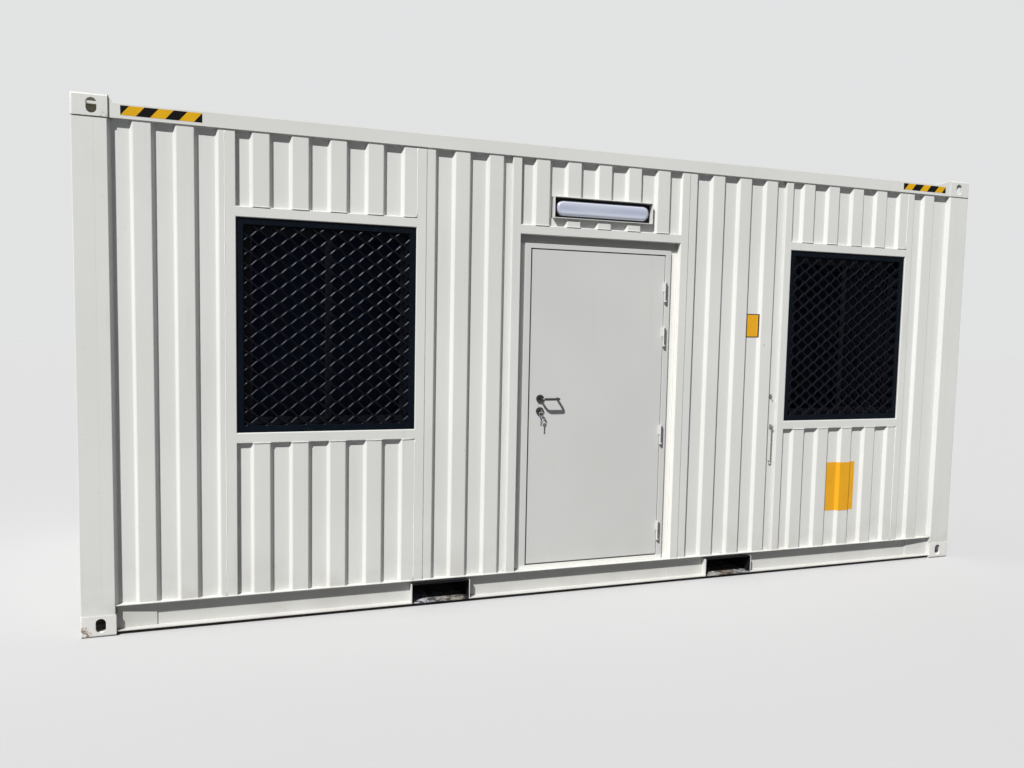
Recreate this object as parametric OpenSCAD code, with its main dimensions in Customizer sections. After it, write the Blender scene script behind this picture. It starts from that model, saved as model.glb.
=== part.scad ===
// Container cabin: a 20 ft high-cube steel container turned into a room, with a
// door, two barred windows and a lamp in its front wall. Millimetres, +Z up.
// The origin is on the ground under the middle, and the front wall faces -Y.
// Places along the front wall are measured from the left end of the container,
// and depths from the outermost plane, the face of the corner castings.

/* [Container] */
// Length over the corner castings
length = 6058; // [5900:1:7000]
// Width over the corner castings
width = 2438; // [2200:1:2600]
// Height over the corner castings
height = 2896; // [2750:1:3100]

/* [Corner castings] */
// Length of a casting, along the container
casting_l = 178; // [170:1:190]
// Width of a casting, across the container
casting_w = 162; // [156:1:176]
// Height of a casting
casting_h = 118; // [112:1:126]
// Thickness of the two outer side walls of a casting
casting_wall = 15.5; // [10:0.5:18]
// Thickness of the plate round the large aperture
casting_plate = 28.5; // [20:0.5:32]
// Thickness of the walls that face the container
casting_back = 12; // [8:0.5:16]
// Radius of the rounded outer corner
casting_round = 14; // [6:1:15]
// Width of a side aperture
side_hole_w = 51; // [40:1:60]
// Height of a side aperture
side_hole_h = 79; // [65:1:84]
// Height of the middle of a side aperture
side_hole_mid = 63.5; // [60:0.5:66]
// Length of the large aperture in the top or the bottom
twist_hole_l = 124.5; // [100:0.5:128]
// Width of the large aperture
twist_hole_w = 63.5; // [50:0.5:70]
// Centre of the apertures from the end of the container
hole_from_end = 101.5; // [98:0.5:102]
// Centre of the apertures from the side of the container
hole_from_side = 89; // [84:0.5:92]

/* [Steel frame] */
// Setback of the corner posts behind the casting faces
post_in = 4; // [2:1:8]
// Setback of the rails behind the casting faces
rail_in = 8; // [5:1:12]
// Width of a corner post on the long side
post_l = 170; // [150:1:173]
// Width of a corner post on the short side
post_w = 154; // [130:1:157]
// Run of the sloping inner side of a corner post
post_slope = 13; // [5:1:20]
// Wall of a corner post
post_wall = 6; // [4:1:10]
// Depth of the top rails
top_rail_d = 60; // [56:1:90]
// Height of the top rails
top_rail_h = 80; // [60:1:90]
// Wall of the top rails
top_rail_wall = 4; // [3:1:8]
// Length of the sloping plate from rail to casting at the left
wedge_left = 24; // [10:1:60]
// Length of the sloping plate from rail to casting at the right
wedge_right = 105; // [60:1:200]
// Underside of the bottom rails above the ground
bottom_rail_z = 20; // [12:1:30]
// Top of the bottom rails, level with the floor
floor_z = 168; // [160:1:190]
// Flange thickness of the bottom rails
flange_t = 6; // [4:0.5:10]
// Web thickness of the bottom rails
web_t = 4; // [3:0.5:8]
// Length of the slanted gusset beside a bottom casting
gusset_l = 200; // [120:5:300]
// Plate thickness of the gusset
gusset_t = 4; // [3:0.5:6]
// Depth of the gusset behind the flange edge, at the casting
gusset_near = 25; // [15:1:32]
// Depth of the gusset behind the flange edge, at its far end
gusset_far = 41; // [34:1:41]

/* [Underfloor] */
// Clear width of a fork pocket
pocket_w = 360; // [300:5:400]
// Distance between the middles of the fork pockets
pocket_spacing = 2072; // [1950:1:2150]
// Side plate of a fork pocket
pocket_side_t = 6; // [4:1:10]
// Top plate of a fork pocket
pocket_top_t = 3; // [2:0.5:6]
// Depth of the strap under the mouth of a fork pocket
strap_d = 200; // [120:5:300]
// Thickness of the floor deck
deck_t = 28; // [18:1:34]
// Flange width of a floor cross member
cross_w = 45; // [35:1:60]
// Thickness of a floor cross member
cross_t = 4; // [3:0.5:6]
// Spacing of the floor cross members
cross_pitch = 340; // [280:5:450]

/* [Corrugated steel] */
// Depth of the outer corrugation faces behind the casting faces
wall_in = 14; // [11:1:18]
// Depth of the corrugation
rib_depth = 22; // [15:1:28]
// Width of an outer corrugation face
rib_flat = 91; // [70:1:110]
// Run of a corrugation slope
rib_slope = 15; // [10:1:25]
// Pitch of the corrugation
rib_pitch = 212; // [200:1:240]
// Thickness of the sheet
sheet_t = 2; // [1.5:0.1:3]
// Least width of an outer face that a bay ends on
rib_least = 20; // [10:1:40]
// Height of the roof pressings
roof_rise = 20; // [12:1:28]
// Pitch of the roof pressings
roof_pitch = 209; // [190:1:240]
// Gap from the top rail to the end of a roof pressing
press_gap = 4; // [2:1:20]
// Gap from the casting faces to the edge of the roof sheet
roof_in = 10; // [8:1:20]
// Run of the sloping end of a roof pressing
roof_end_slope = 40; // [20:1:80]

/* [Wall frames] */
// Face width of the tubes that frame the door and the windows
tube_w = 60; // [50:1:70]
// Depth of these tubes
tube_d = 44; // [40:1:50]
// Wall of these tubes
tube_wall = 3; // [2:0.5:5]
// Radius of the edges of these tubes
tube_round = 5; // [4:0.5:8]
// Height of the wall over the windows and the door
over_head_h = 410; // [300:1:500]
// Clear width of a window
window_w = 1012; // [800:1:1150]
// Clear height of a window
window_h = 1207; // [900:1:1300]
// Clear width between the door tubes
door_gap_w = 1124; // [1110:1:1160]
// Width of the wall between the door and the right window, where the open door rests
bay_mid_right_w = 764; // [760:1:900]
// Share of the rest of the wall that lies at the left end
left_share = 0.3952; // [0.2:0.0001:0.45]
// Share of the rest of the wall that lies between the left window and the door
mid_left_share = 0.3796; // [0.2:0.0001:0.45]

/* [Insulation and lining] */
// Thickness of the lining
lining_t = 40; // [30:1:60]
// Thickness of the ceiling
ceiling_t = 60; // [40:1:90]

/* [Windows] */
// Depth of the grille behind the tube faces
grille_in = 10; // [4:1:14]
// Face width of the grille frame
grille_frame = 38; // [30:1:50]
// Depth of the grille frame
grille_d = 14; // [10:1:18]
// Thickness of the diamond mesh
mesh_t = 5; // [3:0.5:8]
// Width of a strand of the mesh
strand_w = 9; // [6:0.5:12]
// Width of a diamond from knot to knot
cell_w = 108.5; // [90:0.5:130]
// Height of a diamond from knot to knot
cell_h = 81; // [70:0.5:100]
// First knot of the left mesh, from the lower left corner of its frame
left_knot = [12, 8];
// First knot of the right mesh, from the lower left corner of its frame
right_knot = [28, 15];
// Face width of the window frame
window_frame_w = 45; // [30:1:55]
// Face width of a sash
sash_w = 40; // [30:1:60]
// Depth of a sash
sash_d = 16; // [12:1:18]
// Thickness of the glass
glass_t = 5; // [4:0.5:8]

/* [Door] */
// Middle of the door, to the left of the middle of its gap
door_shift = 7; // [0:1:14]
// Clear width between the jambs
door_clear_w = 954; // [900:1:970]
// Height of the flange between the head of the door frame and the tube over it
door_head_gap = 50; // [20:1:80]
// Thickness of the leaf
leaf_t = 40; // [36:1:44]
// Gap round the leaf
leaf_gap = 5; // [5:0.5:6]
// Gap at the leaf's free edge, whose back corner swings past the jamb
free_gap = 7; // [7:0.5:9]
// Depth of the leaf behind the face of its frame
leaf_in = 5; // [5:0.5:8]
// Face width of the door jambs
jamb_w = 37.5; // [32:0.5:45]
// Face height of the door frame's head
door_head_h = 30; // [25:1:40]
// Depth of the frame's raised face behind the casting faces
door_face_in = 38; // [34:1:40]
// Thickness of the flange between the frame and the tubes
flange_plate_t = 2; // [1.5:0.5:4]
// How far the door stop reaches past the edge of the leaf
stop_w = 15; // [10:1:20]
// Height of the threshold above the floor
threshold_h = 25; // [15:1:30]
// Diameter of a hinge barrel
barrel_d = 20; // [16:1:22]
// Length of a hinge barrel
barrel_l = 128; // [100:1:140]
// Diameter of a hinge pin
pin_d = 12; // [8:0.5:13]
// Radial clearance round a hinge pin and round the lever
pin_play = 0.08; // [0.05:0.01:0.1]
// Gap between the two halves of a hinge barrel
barrel_gap = 2; // [1:0.5:4]
// Heights of the two lower hinges above the foot of the leaf
hinges_up = [170, 828];
// Depths of the two upper hinges below the top of the leaf
hinges_down = [537, 240];
// Gap between a hinge barrel and the door frame
barrel_out = 2; // [1:0.5:4]
// Length of a hinge pin inside the leaf's barrel
pin_l = 51; // [30:1:54]
// Backset of the lock from the free edge of the leaf
backset = 74; // [60:1:90]
// Height of the lever spindle above the floor
lever_up = 1108; // [1000:1:1200]
// Distance of the lock rose below the lever
lock_drop = 80; // [72:1:92]
// Diameter of the roses
rose_d = 52; // [45:1:56]
// Thickness of the roses
rose_t = 8; // [6:1:10]
// Diameter of the holes in the leaf for lever and lock
lock_hole_d = 22; // [18:0.5:26]
// Diameter of the lock cylinder
cylinder_d = 20; // [15:0.5:21.5]
// How far the lock cylinder stands out of its roses
cylinder_out = 2; // [1:0.5:4]
// Diameter of the lever's spindle inside the leaf
spindle_d = 12; // [8:0.5:13]
// Length of the lever
lever_l = 116; // [100:1:130]
// Diameter of the lever
lever_d = 16; // [14:1:20]
// Standoff of the lever from the leaf
lever_out = 57; // [45:1:62]
// Radius of the lever's two bends
lever_bend_r = 18; // [12:1:22]

/* [Lamp] */
// Width of the lamp box
lamp_w = 690; // [600:1:720]
// Height of the lamp box
lamp_h = 134; // [110:1:140]
// Height of the middle of the lamp over the tube above the door
lamp_up = 119; // [90:1:200]
// Middle of the lamp, to the left of the middle of the gap between the door tubes
lamp_shift = 2; // [-20:1:20]
// How far the lamp box stands out of the wall
lamp_out = 11; // [3:1:12]
// Plate of the lamp box
lamp_plate = 4; // [3:0.5:8]
// Width of the lamp cover
cover_w = 650; // [560:1:660]
// Height of the lamp cover
cover_h = 96; // [80:1:104]
// Bulge of the lamp cover
cover_d = 39; // [20:1:44]
// Rounding of the front edge of the lamp cover
cover_round = 18; // [10:1:19]

/* [Door holdback] */
// Width of the plates on the wall
keeper_w = 20; // [16:1:24]
// Height of the plates on the wall
keeper_h = 32; // [24:1:40]
// Thickness of the plates on the wall
keeper_t = 3; // [2:0.5:5]
// Reach of the staples from the wall
staple_out = 22; // [16:1:26]
// Diameter of the wire of staples and hook
hook_wire = 7; // [5:0.5:8]
// Drop from the keeper to the staple that carries the hook
staple_drop = 216; // [180:1:300]
// Distance of that staple to the right of the keeper
staple_shift = 11; // [8:1:14]
// Length of the hook from eye to bend
hook_l = 238; // [180:1:280]
// Radius of the hook's eye and bend
hook_r = 9; // [8:0.5:12]

/* [Hidden] */
$fn = 48;

// Length that a cut runs past the surface it opens
over = 1;

// How far the lever stands out beyond the casting faces
front_proud = lever_out + lever_d / 2 - door_face_in - leaf_in;

// Places in depth, from the outermost plane
wall_back = wall_in + rib_depth + sheet_t;
tube_back = wall_in + tube_d;
room_in = tube_back + lining_t;

// Places in height
top_casting_z = height - casting_h;
rail_top_z = top_casting_z + top_rail_h;
ceiling_z = top_casting_z - ceiling_t;
head_z = top_casting_z - over_head_h - tube_w;
sill_z = head_z - window_h;
deck_z = floor_z - deck_t;
post_x = post_in + post_l;
post_y = post_in + post_w;
wall_x0 = post_x + post_slope;
wall_y0 = post_y + post_slope;

// Places along the front wall
framed_w = 2 * window_w + door_gap_w + bay_mid_right_w + 6 * tube_w;
rest_w = length - 2 * wall_x0 - framed_w;
bay_left_w = round(left_share * rest_w);
bay_mid_left_w = round(mid_left_share * rest_w);
window_left_x = wall_x0 + bay_left_w + tube_w;
door_gap_x = window_left_x + window_w + bay_mid_left_w + 2 * tube_w;
door_gap_at = door_gap_x + door_gap_w / 2;
window_right_x = door_gap_x + door_gap_w + bay_mid_right_w + 2 * tube_w;
wall_x1 = length - wall_x0;

// First outer rib face of each bay of the front wall, from the bay's left edge
first_left = 104;
first_window = 88;
first_mid_left = -39;
first_over_door = 94;
first_mid_right = -37;
first_right = 94;

// Door
door_at = door_gap_at - door_shift;
clear_x0 = door_at - door_clear_w / 2;
clear_x1 = door_at + door_clear_w / 2;
leaf_x = clear_x0 + free_gap;
leaf_w = door_clear_w - free_gap - leaf_gap;
leaf_z = floor_z + threshold_h + leaf_gap;
leaf_face = door_face_in + leaf_in;
leaf_back = leaf_face + leaf_t;
frame_x0 = clear_x0 - jamb_w;
frame_x1 = clear_x1 + jamb_w;
frame_top_z = head_z - door_head_gap;
clear_z1 = frame_top_z - door_head_h;
leaf_h = clear_z1 - leaf_gap - leaf_z;
hinge_x = clear_x1 - leaf_gap / 2;
hinge_y = door_face_in - barrel_d / 2 - barrel_out;
hinge_zs = concat([for (z = hinges_up) leaf_z + z], [for (z = hinges_down) leaf_z + leaf_h - z]);
spindle_x = leaf_x + backset;
lever_z = floor_z + lever_up;
lock_z = lever_z - lock_drop;
barrel_half_l = (barrel_l - barrel_gap) / 2;

// Fork pockets
pocket_xs = [length / 2 - pocket_spacing / 2, length / 2 + pocket_spacing / 2];
pocket_out_w = pocket_w + 2 * pocket_side_t;

// Moves a piece from the left front ground corner into the part's own frame
module placed() {
    translate([-length / 2, -(width - front_proud) / 2, 0]) children();
}

// Repeats a piece of the front at the back, as its mirror image
module at_back() {
    translate([0, width, 0]) mirror([0, 1, 0]) children();
}

// Repeats a piece of the left end at the right end, as its mirror image
module at_right() {
    translate([length, 0, 0]) mirror([1, 0, 0]) children();
}

module box(x0, x1, y0, y1, z0, z1) {
    translate([x0, y0, z0]) cube([x1 - x0, y1 - y0, z1 - z0]);
}

// An outline in Y and Z, drawn out along X
module along_x(x0, x1) {
    translate([x0, 0, 0]) rotate([90, 0, 90]) linear_extrude(x1 - x0) children();
}

// An outline in X and Z, drawn out along Y
module along_y(y0, y1) {
    translate([0, y1, 0]) rotate([90, 0, 0]) linear_extrude(y1 - y0) children();
}

// A slot outline with round ends, w wide and h high, about the origin
module slot(w, h) {
    r = min(w, h) / 2;
    square([w - (w > h ? 2 * r : 0), h - (h > w ? 2 * r : 0)], center = true);
    for (s = [-1, 1])
        translate([w > h ? s * (w / 2 - r) : 0, h > w ? s * (h / 2 - r) : 0]) circle(r);
}

// A rectangle from the origin with one rounded corner there
module one_round(w, h, r) {
    difference() {
        square([w, h]);
        difference() {
            translate([-over, -over]) square(r + over);
            translate([r, r]) circle(r);
        }
    }
}

// Corner casting at the left front bottom corner, hollow, with its three apertures
module corner_casting() {
    difference() {
        intersection() {
            linear_extrude(casting_h) one_round(casting_l, casting_w, casting_round);
            along_y(0, casting_w) one_round(casting_l, casting_h, casting_round);
            along_x(0, casting_l) one_round(casting_w, casting_h, casting_round);
        }
        box(casting_wall, casting_l - casting_back, casting_wall, casting_w - casting_back,
            casting_plate, casting_h - casting_back);
        translate([hole_from_end, hole_from_side, -over])
            linear_extrude(casting_plate + 2 * over) slot(twist_hole_l, twist_hole_w);
        along_y(-over, casting_wall + over)
            translate([hole_from_end, side_hole_mid]) slot(side_hole_w, side_hole_h);
        along_x(-over, casting_wall + over)
            translate([hole_from_side, side_hole_mid]) slot(side_hole_w, side_hole_h);
    }
}

// The castings of one long side, at the bottom or turned over at the top
module bottom_castings() {
    color("gainsboro") {
        corner_casting();
        at_right() corner_casting();
    }
}

module top_castings() {
    translate([0, 0, height]) mirror([0, 0, 1]) bottom_castings();
}

// Space that the four castings of one level take up
module casting_blocks(z0, z1) {
    for (x = [-over, length - casting_l], y = [-over, width - casting_w])
        box(x, x + casting_l + over, y, y + casting_w + over, z0, z1);
}

// Corner post: a hollow angle of pressed plate, g in from its surface. Above the
// floor its inner sides slope out to the walls by the given run.
module post_outline(g, run) {
    flat_y = wall_in + rib_depth;
    polygon([
        [post_in + g, post_in + g], [post_x - g, post_in + g],
        [post_x + run - g, flat_y], [post_x + run - g, tube_back - g],
        [tube_back - g, tube_back - g], [tube_back - g, post_y + run - g],
        [flat_y, post_y + run - g], [post_in + g, post_y - g]]);
}

module post_length(z0, z1, run) {
    translate([0, 0, z0]) linear_extrude(z1 - z0) difference() {
        post_outline(0, run);
        post_outline(post_wall, run);
    }
}

module corner_post() {
    post_length(casting_h, floor_z, 0);
    post_length(floor_z, top_casting_z, post_slope);
}

module corner_posts() {
    color("whitesmoke") {
        corner_post();
        at_right() corner_post();
    }
}

// A rectangle from the origin with four rounded corners
module rounded(w, h, r) {
    translate([r, 0]) square([w - 2 * r, h]);
    translate([0, r]) square([w, h - 2 * r]);
    for (x = [r, w - r], y = [r, h - r]) translate([x, y]) circle(r);
}

// Section of a square tube
module tube_outline(w, h, wall) {
    difference() {
        square([w, h]);
        translate([wall, wall]) square([w - 2 * wall, h - 2 * wall]);
    }
}

// Top rail: a square tube with a sloping plate up to each casting
module wedge(run) {
    along_y(rail_in, rail_in + top_rail_d) polygon([
        [casting_l, rail_top_z], [casting_l + run, rail_top_z], [casting_l, height]]);
}

module top_rail() {
    color("whitesmoke") {
        along_x(casting_l, length - casting_l)
            translate([rail_in, top_casting_z]) tube_outline(top_rail_d, top_rail_h, top_rail_wall);
        wedge(wedge_left);
        at_right() wedge(wedge_right);
    }
}

module top_end_rail() {
    color("whitesmoke")
        along_y(casting_w, width - casting_w)
            translate([rail_in, top_casting_z]) tube_outline(top_rail_d, top_rail_h, top_rail_wall);
}

// Bottom rail: a channel open to the outside
module channel_outline() {
    difference() {
        translate([rail_in, bottom_rail_z])
            square([tube_back - rail_in, floor_z - bottom_rail_z]);
        translate([rail_in - over, bottom_rail_z + flange_t])
            square([tube_back - rail_in - web_t + over, floor_z - bottom_rail_z - 2 * flange_t]);
    }
}

module gusset() {
    y_near = rail_in + gusset_near;
    y_far = rail_in + gusset_far;
    far_x = casting_l + gusset_l;
    web_y = tube_back - web_t;
    translate([0, 0, bottom_rail_z + flange_t])
        linear_extrude(floor_z - bottom_rail_z - 2 * flange_t) polygon([
            [casting_l, y_near], [far_x, y_far], [far_x, web_y], [far_x - gusset_t, web_y],
            [far_x - gusset_t, y_far + gusset_t], [casting_l, y_near + gusset_t]]);
}

module bottom_rail() {
    color("whitesmoke") difference() {
        union() {
            along_x(post_x, length - post_x) channel_outline();
            gusset();
            at_right() gusset();
        }
        casting_blocks(-over, casting_h);
        for (x = pocket_xs)
            box(x - pocket_out_w / 2, x + pocket_out_w / 2, 0, tube_back + over,
                bottom_rail_z - over, deck_z);
    }
}

module bottom_end_rail() {
    color("whitesmoke") difference() {
        along_y(post_y, width - post_y) channel_outline();
        casting_blocks(-over, casting_h);
    }
}

// Floor cross members, left out where a fork pocket runs
cross_first = tube_back + cross_pitch / 2;
cross_count = floor((length - 2 * cross_first) / cross_pitch) + 1;
cross_start = (length - (cross_count - 1) * cross_pitch) / 2;
function beside_pocket(x) =
    min([for (p = pocket_xs) abs(x - p)]) > (pocket_out_w + cross_w) / 2 + cross_t;

module cross_members() {
    color("dimgray") for (i = [0 : cross_count - 1]) {
        x = cross_start + i * cross_pitch;
        if (beside_pocket(x))
            along_y(tube_back, width - tube_back) difference() {
                translate([x - cross_w / 2, bottom_rail_z]) square([cross_w, deck_z - bottom_rail_z]);
                translate([x - cross_w / 2 + cross_t, bottom_rail_z + cross_t])
                    square([cross_w, deck_z - bottom_rail_z - 2 * cross_t]);
            }
    }
}

// Fork pocket: a tunnel across the floor, open below between its two straps
module fork_pocket(x) {
    x0 = x - pocket_w / 2;
    x1 = x + pocket_w / 2;
    for (side = [x0 - pocket_side_t, x1])
        box(side, side + pocket_side_t, rail_in, width - rail_in, bottom_rail_z, deck_z);
    box(x0, x1, rail_in, width - rail_in, deck_z - pocket_top_t, deck_z);
    for (y = [rail_in, width - rail_in - strap_d])
        box(x0, x1, y, y + strap_d, bottom_rail_z, bottom_rail_z + flange_t);
}

module fork_pockets() {
    color("lightgray") for (x = pocket_xs) fork_pocket(x);
}

module floor_deck() {
    color("saddlebrown")
        box(tube_back, length - tube_back, tube_back, width - tube_back, deck_z, floor_z);
}

// Corrugated sheet. A face line runs from x0 to x1 and has count ribs, whose outer
// faces are flat wide and start at first. The sheet's back is such a line too, with
// its corners mitred in by the sheet's thickness.
mitre = sheet_t * tan(atan(rib_depth / rib_slope) / 2);
function rib_count(first, x1) = max(0, floor((x1 - rib_least - first) / rib_pitch) + 1);
function depth_at(x, first, flat, count) =
    let (k = floor((x - first + rib_slope) / rib_pitch))
    let (u = x - first - rib_pitch * min(max(k, 0), count - 1))
    count == 0 ? rib_depth : rib_depth * min(1, max(0, -u, u - flat) / rib_slope);
function rib_corners(x0, x1, first, flat, count) = [
    for (k = [0 : count - 1])
        for (u = [-rib_slope, 0, flat, flat + rib_slope])
            let (x = first + k * rib_pitch + u)
            if (x > x0 + 1 && x < x1 - 1) x];
function face_line(x0, x1, first, flat, count) = [
    for (x = concat([x0], rib_corners(x0, x1, first, flat, count), [x1]))
        [x, depth_at(x, first, flat, count)]];
function reversed(list) = [for (i = [len(list) - 1 : -1 : 0]) list[i]];

module sheet(x0, x1, z0, z1, offset) {
    first = x0 + offset;
    count = rib_count(first, x1);
    face = face_line(x0, x1, first, rib_flat, count);
    back = face_line(x0, x1, first + mitre, rib_flat - 2 * mitre, count);
    color("white") translate([0, wall_in, z0]) linear_extrude(z1 - z0)
        polygon(concat(face, [for (p = reversed(back)) p + [0, sheet_t]]));
}

// First rib of a plain wall w wide, with its ribs spread about the middle
function centred_first(w) =
    let (count = floor((w - 2 * rib_slope - rib_flat) / rib_pitch) + 1)
    (w - rib_flat - (count - 1) * rib_pitch) / 2;

module back_wall() {
    at_back() sheet(wall_x0, wall_x1, floor_z, top_casting_z, centred_first(wall_x1 - wall_x0));
}

module end_wall() {
    y1 = width - wall_y0;
    mirror([1, 0, 0]) rotate([0, 0, 90])
        sheet(wall_y0, y1, floor_z, top_casting_z, centred_first(y1 - wall_y0));
}

module front_wall_left() {
    sheet(wall_x0, window_left_x - tube_w, floor_z, top_casting_z, first_left);
}

module front_wall_window(x) {
    sheet(x, x + window_w, floor_z, sill_z - tube_w, first_window);
    sheet(x, x + window_w, head_z + tube_w, top_casting_z, first_window);
}

module front_wall_mid_left() {
    sheet(window_left_x + window_w + tube_w, door_gap_x - tube_w, floor_z, top_casting_z,
        first_mid_left);
}

module front_wall_over_door() {
    difference() {
        sheet(door_gap_x, door_gap_x + door_gap_w, head_z + tube_w, top_casting_z, first_over_door);
        lamp_block();
    }
}

module front_wall_mid_right() {
    sheet(door_gap_x + door_gap_w + tube_w, window_right_x - tube_w, floor_z, top_casting_z,
        first_mid_right);
}

module front_wall_right() {
    sheet(window_right_x + window_w + tube_w, wall_x1, floor_z, top_casting_z, first_right);
}

// Roof: a sheet on the rails with hollow pressings across it
roof_mitre = sheet_t * tan(atan(roof_rise / rib_slope) / 2);
roof_end_mitre = sheet_t * tan(atan(roof_rise / roof_end_slope) / 2);
press_y0 = rail_in + top_rail_d + press_gap;
press_count = floor((length - 2 * (tube_back + rib_flat)) / roof_pitch) + 1;

// Trapezium on the base line z0, from -half to half there, tapering with the run
module trapezium(half, z0, rise, run, below) {
    polygon([
        [-half - below * run / rise, z0 - below], [half + below * run / rise, z0 - below],
        [half - run, z0 + rise], [-half + run, z0 + rise]]);
}

module pressing(x, z0, less_x, less_y, below) {
    y_half = width / 2 - press_y0 - less_y;
    intersection() {
        translate([x, 0, 0]) along_y(0, width)
            trapezium(rib_flat / 2 + rib_slope - less_x, z0, roof_rise, rib_slope, below);
        translate([0, width / 2, 0]) along_x(0, length)
            trapezium(y_half, z0, roof_rise, roof_end_slope, below);
    }
}

module roof() {
    first = length / 2 - (press_count - 1) / 2 * roof_pitch;
    color("whitesmoke") difference() {
        union() {
            box(roof_in, length - roof_in, roof_in, width - roof_in, rail_top_z, rail_top_z + sheet_t);
            for (i = [0 : press_count - 1])
                pressing(first + i * roof_pitch, rail_top_z + sheet_t, 0, 0, 0);
        }
        for (i = [0 : press_count - 1])
            pressing(first + i * roof_pitch, rail_top_z, roof_mitre, roof_end_mitre, over);
        for (side = [0, 1])
            translate([side * length, 0, 0]) mirror([side, 0, 0]) wedge_blocks(side);
        casting_blocks(top_casting_z, height + over);
    }
}

// Space of the sloping plates at one end, which stand on the rails beside the sheet
module wedge_blocks(side) {
    run = side == 0 ? wedge_left : wedge_right;
    for (y = [0, width - rail_in - top_rail_d])
        box(casting_l - over, casting_l + run, y, y + rail_in + top_rail_d,
            rail_top_z - over, rail_top_z + sheet_t + over);
}

// Tubes that frame the openings of the front wall
module round_tube_outline(w, h) {
    difference() {
        rounded(w, h, tube_round);
        translate([tube_wall, tube_wall])
            rounded(w - 2 * tube_wall, h - 2 * tube_wall, tube_round - tube_wall);
    }
}

module upright(x) {
    translate([x, wall_in, floor_z])
        linear_extrude(top_casting_z - floor_z) round_tube_outline(tube_w, tube_d);
}

// A cross tube runs into the rounded edges of the uprights beside it
module cross_tube(x0, x1, z) {
    along_x(x0 - tube_round, x1 + tube_round)
        translate([wall_in, z]) round_tube_outline(tube_d, tube_w);
}

module door_surround() {
    color("white") {
        upright(door_gap_x - tube_w);
        upright(door_gap_x + door_gap_w);
        cross_tube(door_gap_x, door_gap_x + door_gap_w, head_z);
    }
}

module window_surround(x) {
    color("white") {
        upright(x - tube_w);
        upright(x + window_w);
        cross_tube(x, x + window_w, sill_z - tube_w);
        cross_tube(x, x + window_w, head_z);
    }
}

// A rectangular frame between two depths, from its outer size and face width
module ring(x0, x1, z0, z1, face, y0, y1) {
    difference() {
        box(x0, x1, y0, y1, z0, z1);
        box(x0 + face, x1 - face, y0 - over, y1 + over, z0 + face, z1 - face);
    }
}

// One opening between the strands, from its middle
module diamond(half_w, half_h) {
    polygon([[-half_w, 0], [0, -half_h], [half_w, 0], [0, half_h]]);
}

// Holes between the strands over a frame w by h, from the place of its first knot
module mesh_holes(w, h, knot) {
    lean = atan(cell_h / cell_w);
    half_w = cell_w / 2 - strand_w / (2 * sin(lean));
    half_h = cell_h / 2 - strand_w / (2 * cos(lean));
    for (i = [0 : ceil(2 * w / cell_w)], j = [0 : ceil(2 * h / cell_h)])
        if ((i + j) % 2 == 1)
            translate([knot[0] + i * cell_w / 2, knot[1] + j * cell_h / 2])
                diamond(half_w, half_h);
}

// Diamond grille: a frame with a mesh of crossing strands
module grille(x, knot) {
    y0 = wall_in + grille_in;
    inside = grille_frame - over;
    color("black") {
        ring(x, x + window_w, sill_z, head_z, grille_frame, y0, y0 + grille_d);
        along_y(y0 + (grille_d - mesh_t) / 2, y0 + (grille_d + mesh_t) / 2)
            translate([x, sill_z]) difference() {
                translate([inside, inside])
                    square([window_w - 2 * inside, window_h - 2 * inside]);
                intersection() {
                    translate([grille_frame, grille_frame])
                        square([window_w - 2 * grille_frame, window_h - 2 * grille_frame]);
                    mesh_holes(window_w, window_h, knot);
                }
            }
    }
}

// Sliding window: a frame in the lining with two sashes one behind the other
window_y0 = tube_back;
window_d = lining_t;
sash_y0 = window_y0 + (window_d - 2 * sash_d) / 2;
function sash_x0(x, side) =
    side == 0 ? x + window_frame_w : x + window_w / 2 - sash_w / 2;
function sash_x1(x, side) =
    side == 0 ? x + window_w / 2 + sash_w / 2 : x + window_w - window_frame_w;

module window_frame(x) {
    color("black") {
        ring(x, x + window_w, sill_z, head_z, window_frame_w, window_y0, window_y0 + window_d);
        for (side = [0, 1])
            ring(sash_x0(x, side), sash_x1(x, side), sill_z + window_frame_w,
                head_z - window_frame_w, sash_w, sash_y0 + side * sash_d,
                sash_y0 + (side + 1) * sash_d);
    }
}

module window_pane(x) {
    z0 = sill_z + window_frame_w + sash_w;
    z1 = head_z - window_frame_w - sash_w;
    color("darkslategray") for (side = [0, 1])
        box(sash_x0(x, side) + sash_w, sash_x1(x, side) - sash_w,
            sash_y0 + (side + 0.5) * sash_d - glass_t / 2,
            sash_y0 + (side + 0.5) * sash_d + glass_t / 2, z0, z1);
}

// Door frame: jambs with a stop, a threshold and a flange to the tubes
module door_frame() {
    stop_y = leaf_back + leaf_gap;
    sill_top = floor_z + threshold_h;
    color("gainsboro") {
        difference() {
            box(frame_x0, frame_x1, door_face_in, room_in, floor_z, frame_top_z);
            box(clear_x0, clear_x1, door_face_in - over, stop_y, sill_top, clear_z1);
            box(leaf_x + stop_w, leaf_x + leaf_w - stop_w, door_face_in, room_in + over,
                sill_top, leaf_z + leaf_h - stop_w);
        }
        difference() {
            box(door_gap_x, door_gap_x + door_gap_w, tube_back - flange_plate_t, tube_back,
                floor_z, head_z);
            box(frame_x0 + over, frame_x1 - over, 0, room_in, floor_z - over, frame_top_z - over);
        }
    }
}

// Hinges: the frame's half carries the pin, and the leaf's half turns on it
module barrel_half(z) {
    translate([hinge_x, hinge_y, z]) cylinder(h = barrel_half_l, d = barrel_d);
}

module frame_hinges() {
    color("gainsboro") for (z = hinge_zs) {
        barrel_half(z - barrel_l / 2);
        translate([hinge_x, hinge_y, z - barrel_gap / 2 - over])
            cylinder(h = over + barrel_gap + pin_l, d = pin_d);
        box(clear_x1, hinge_x + barrel_d / 2, hinge_y, door_face_in,
            z - barrel_l / 2, z - barrel_gap / 2);
    }
}

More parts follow.
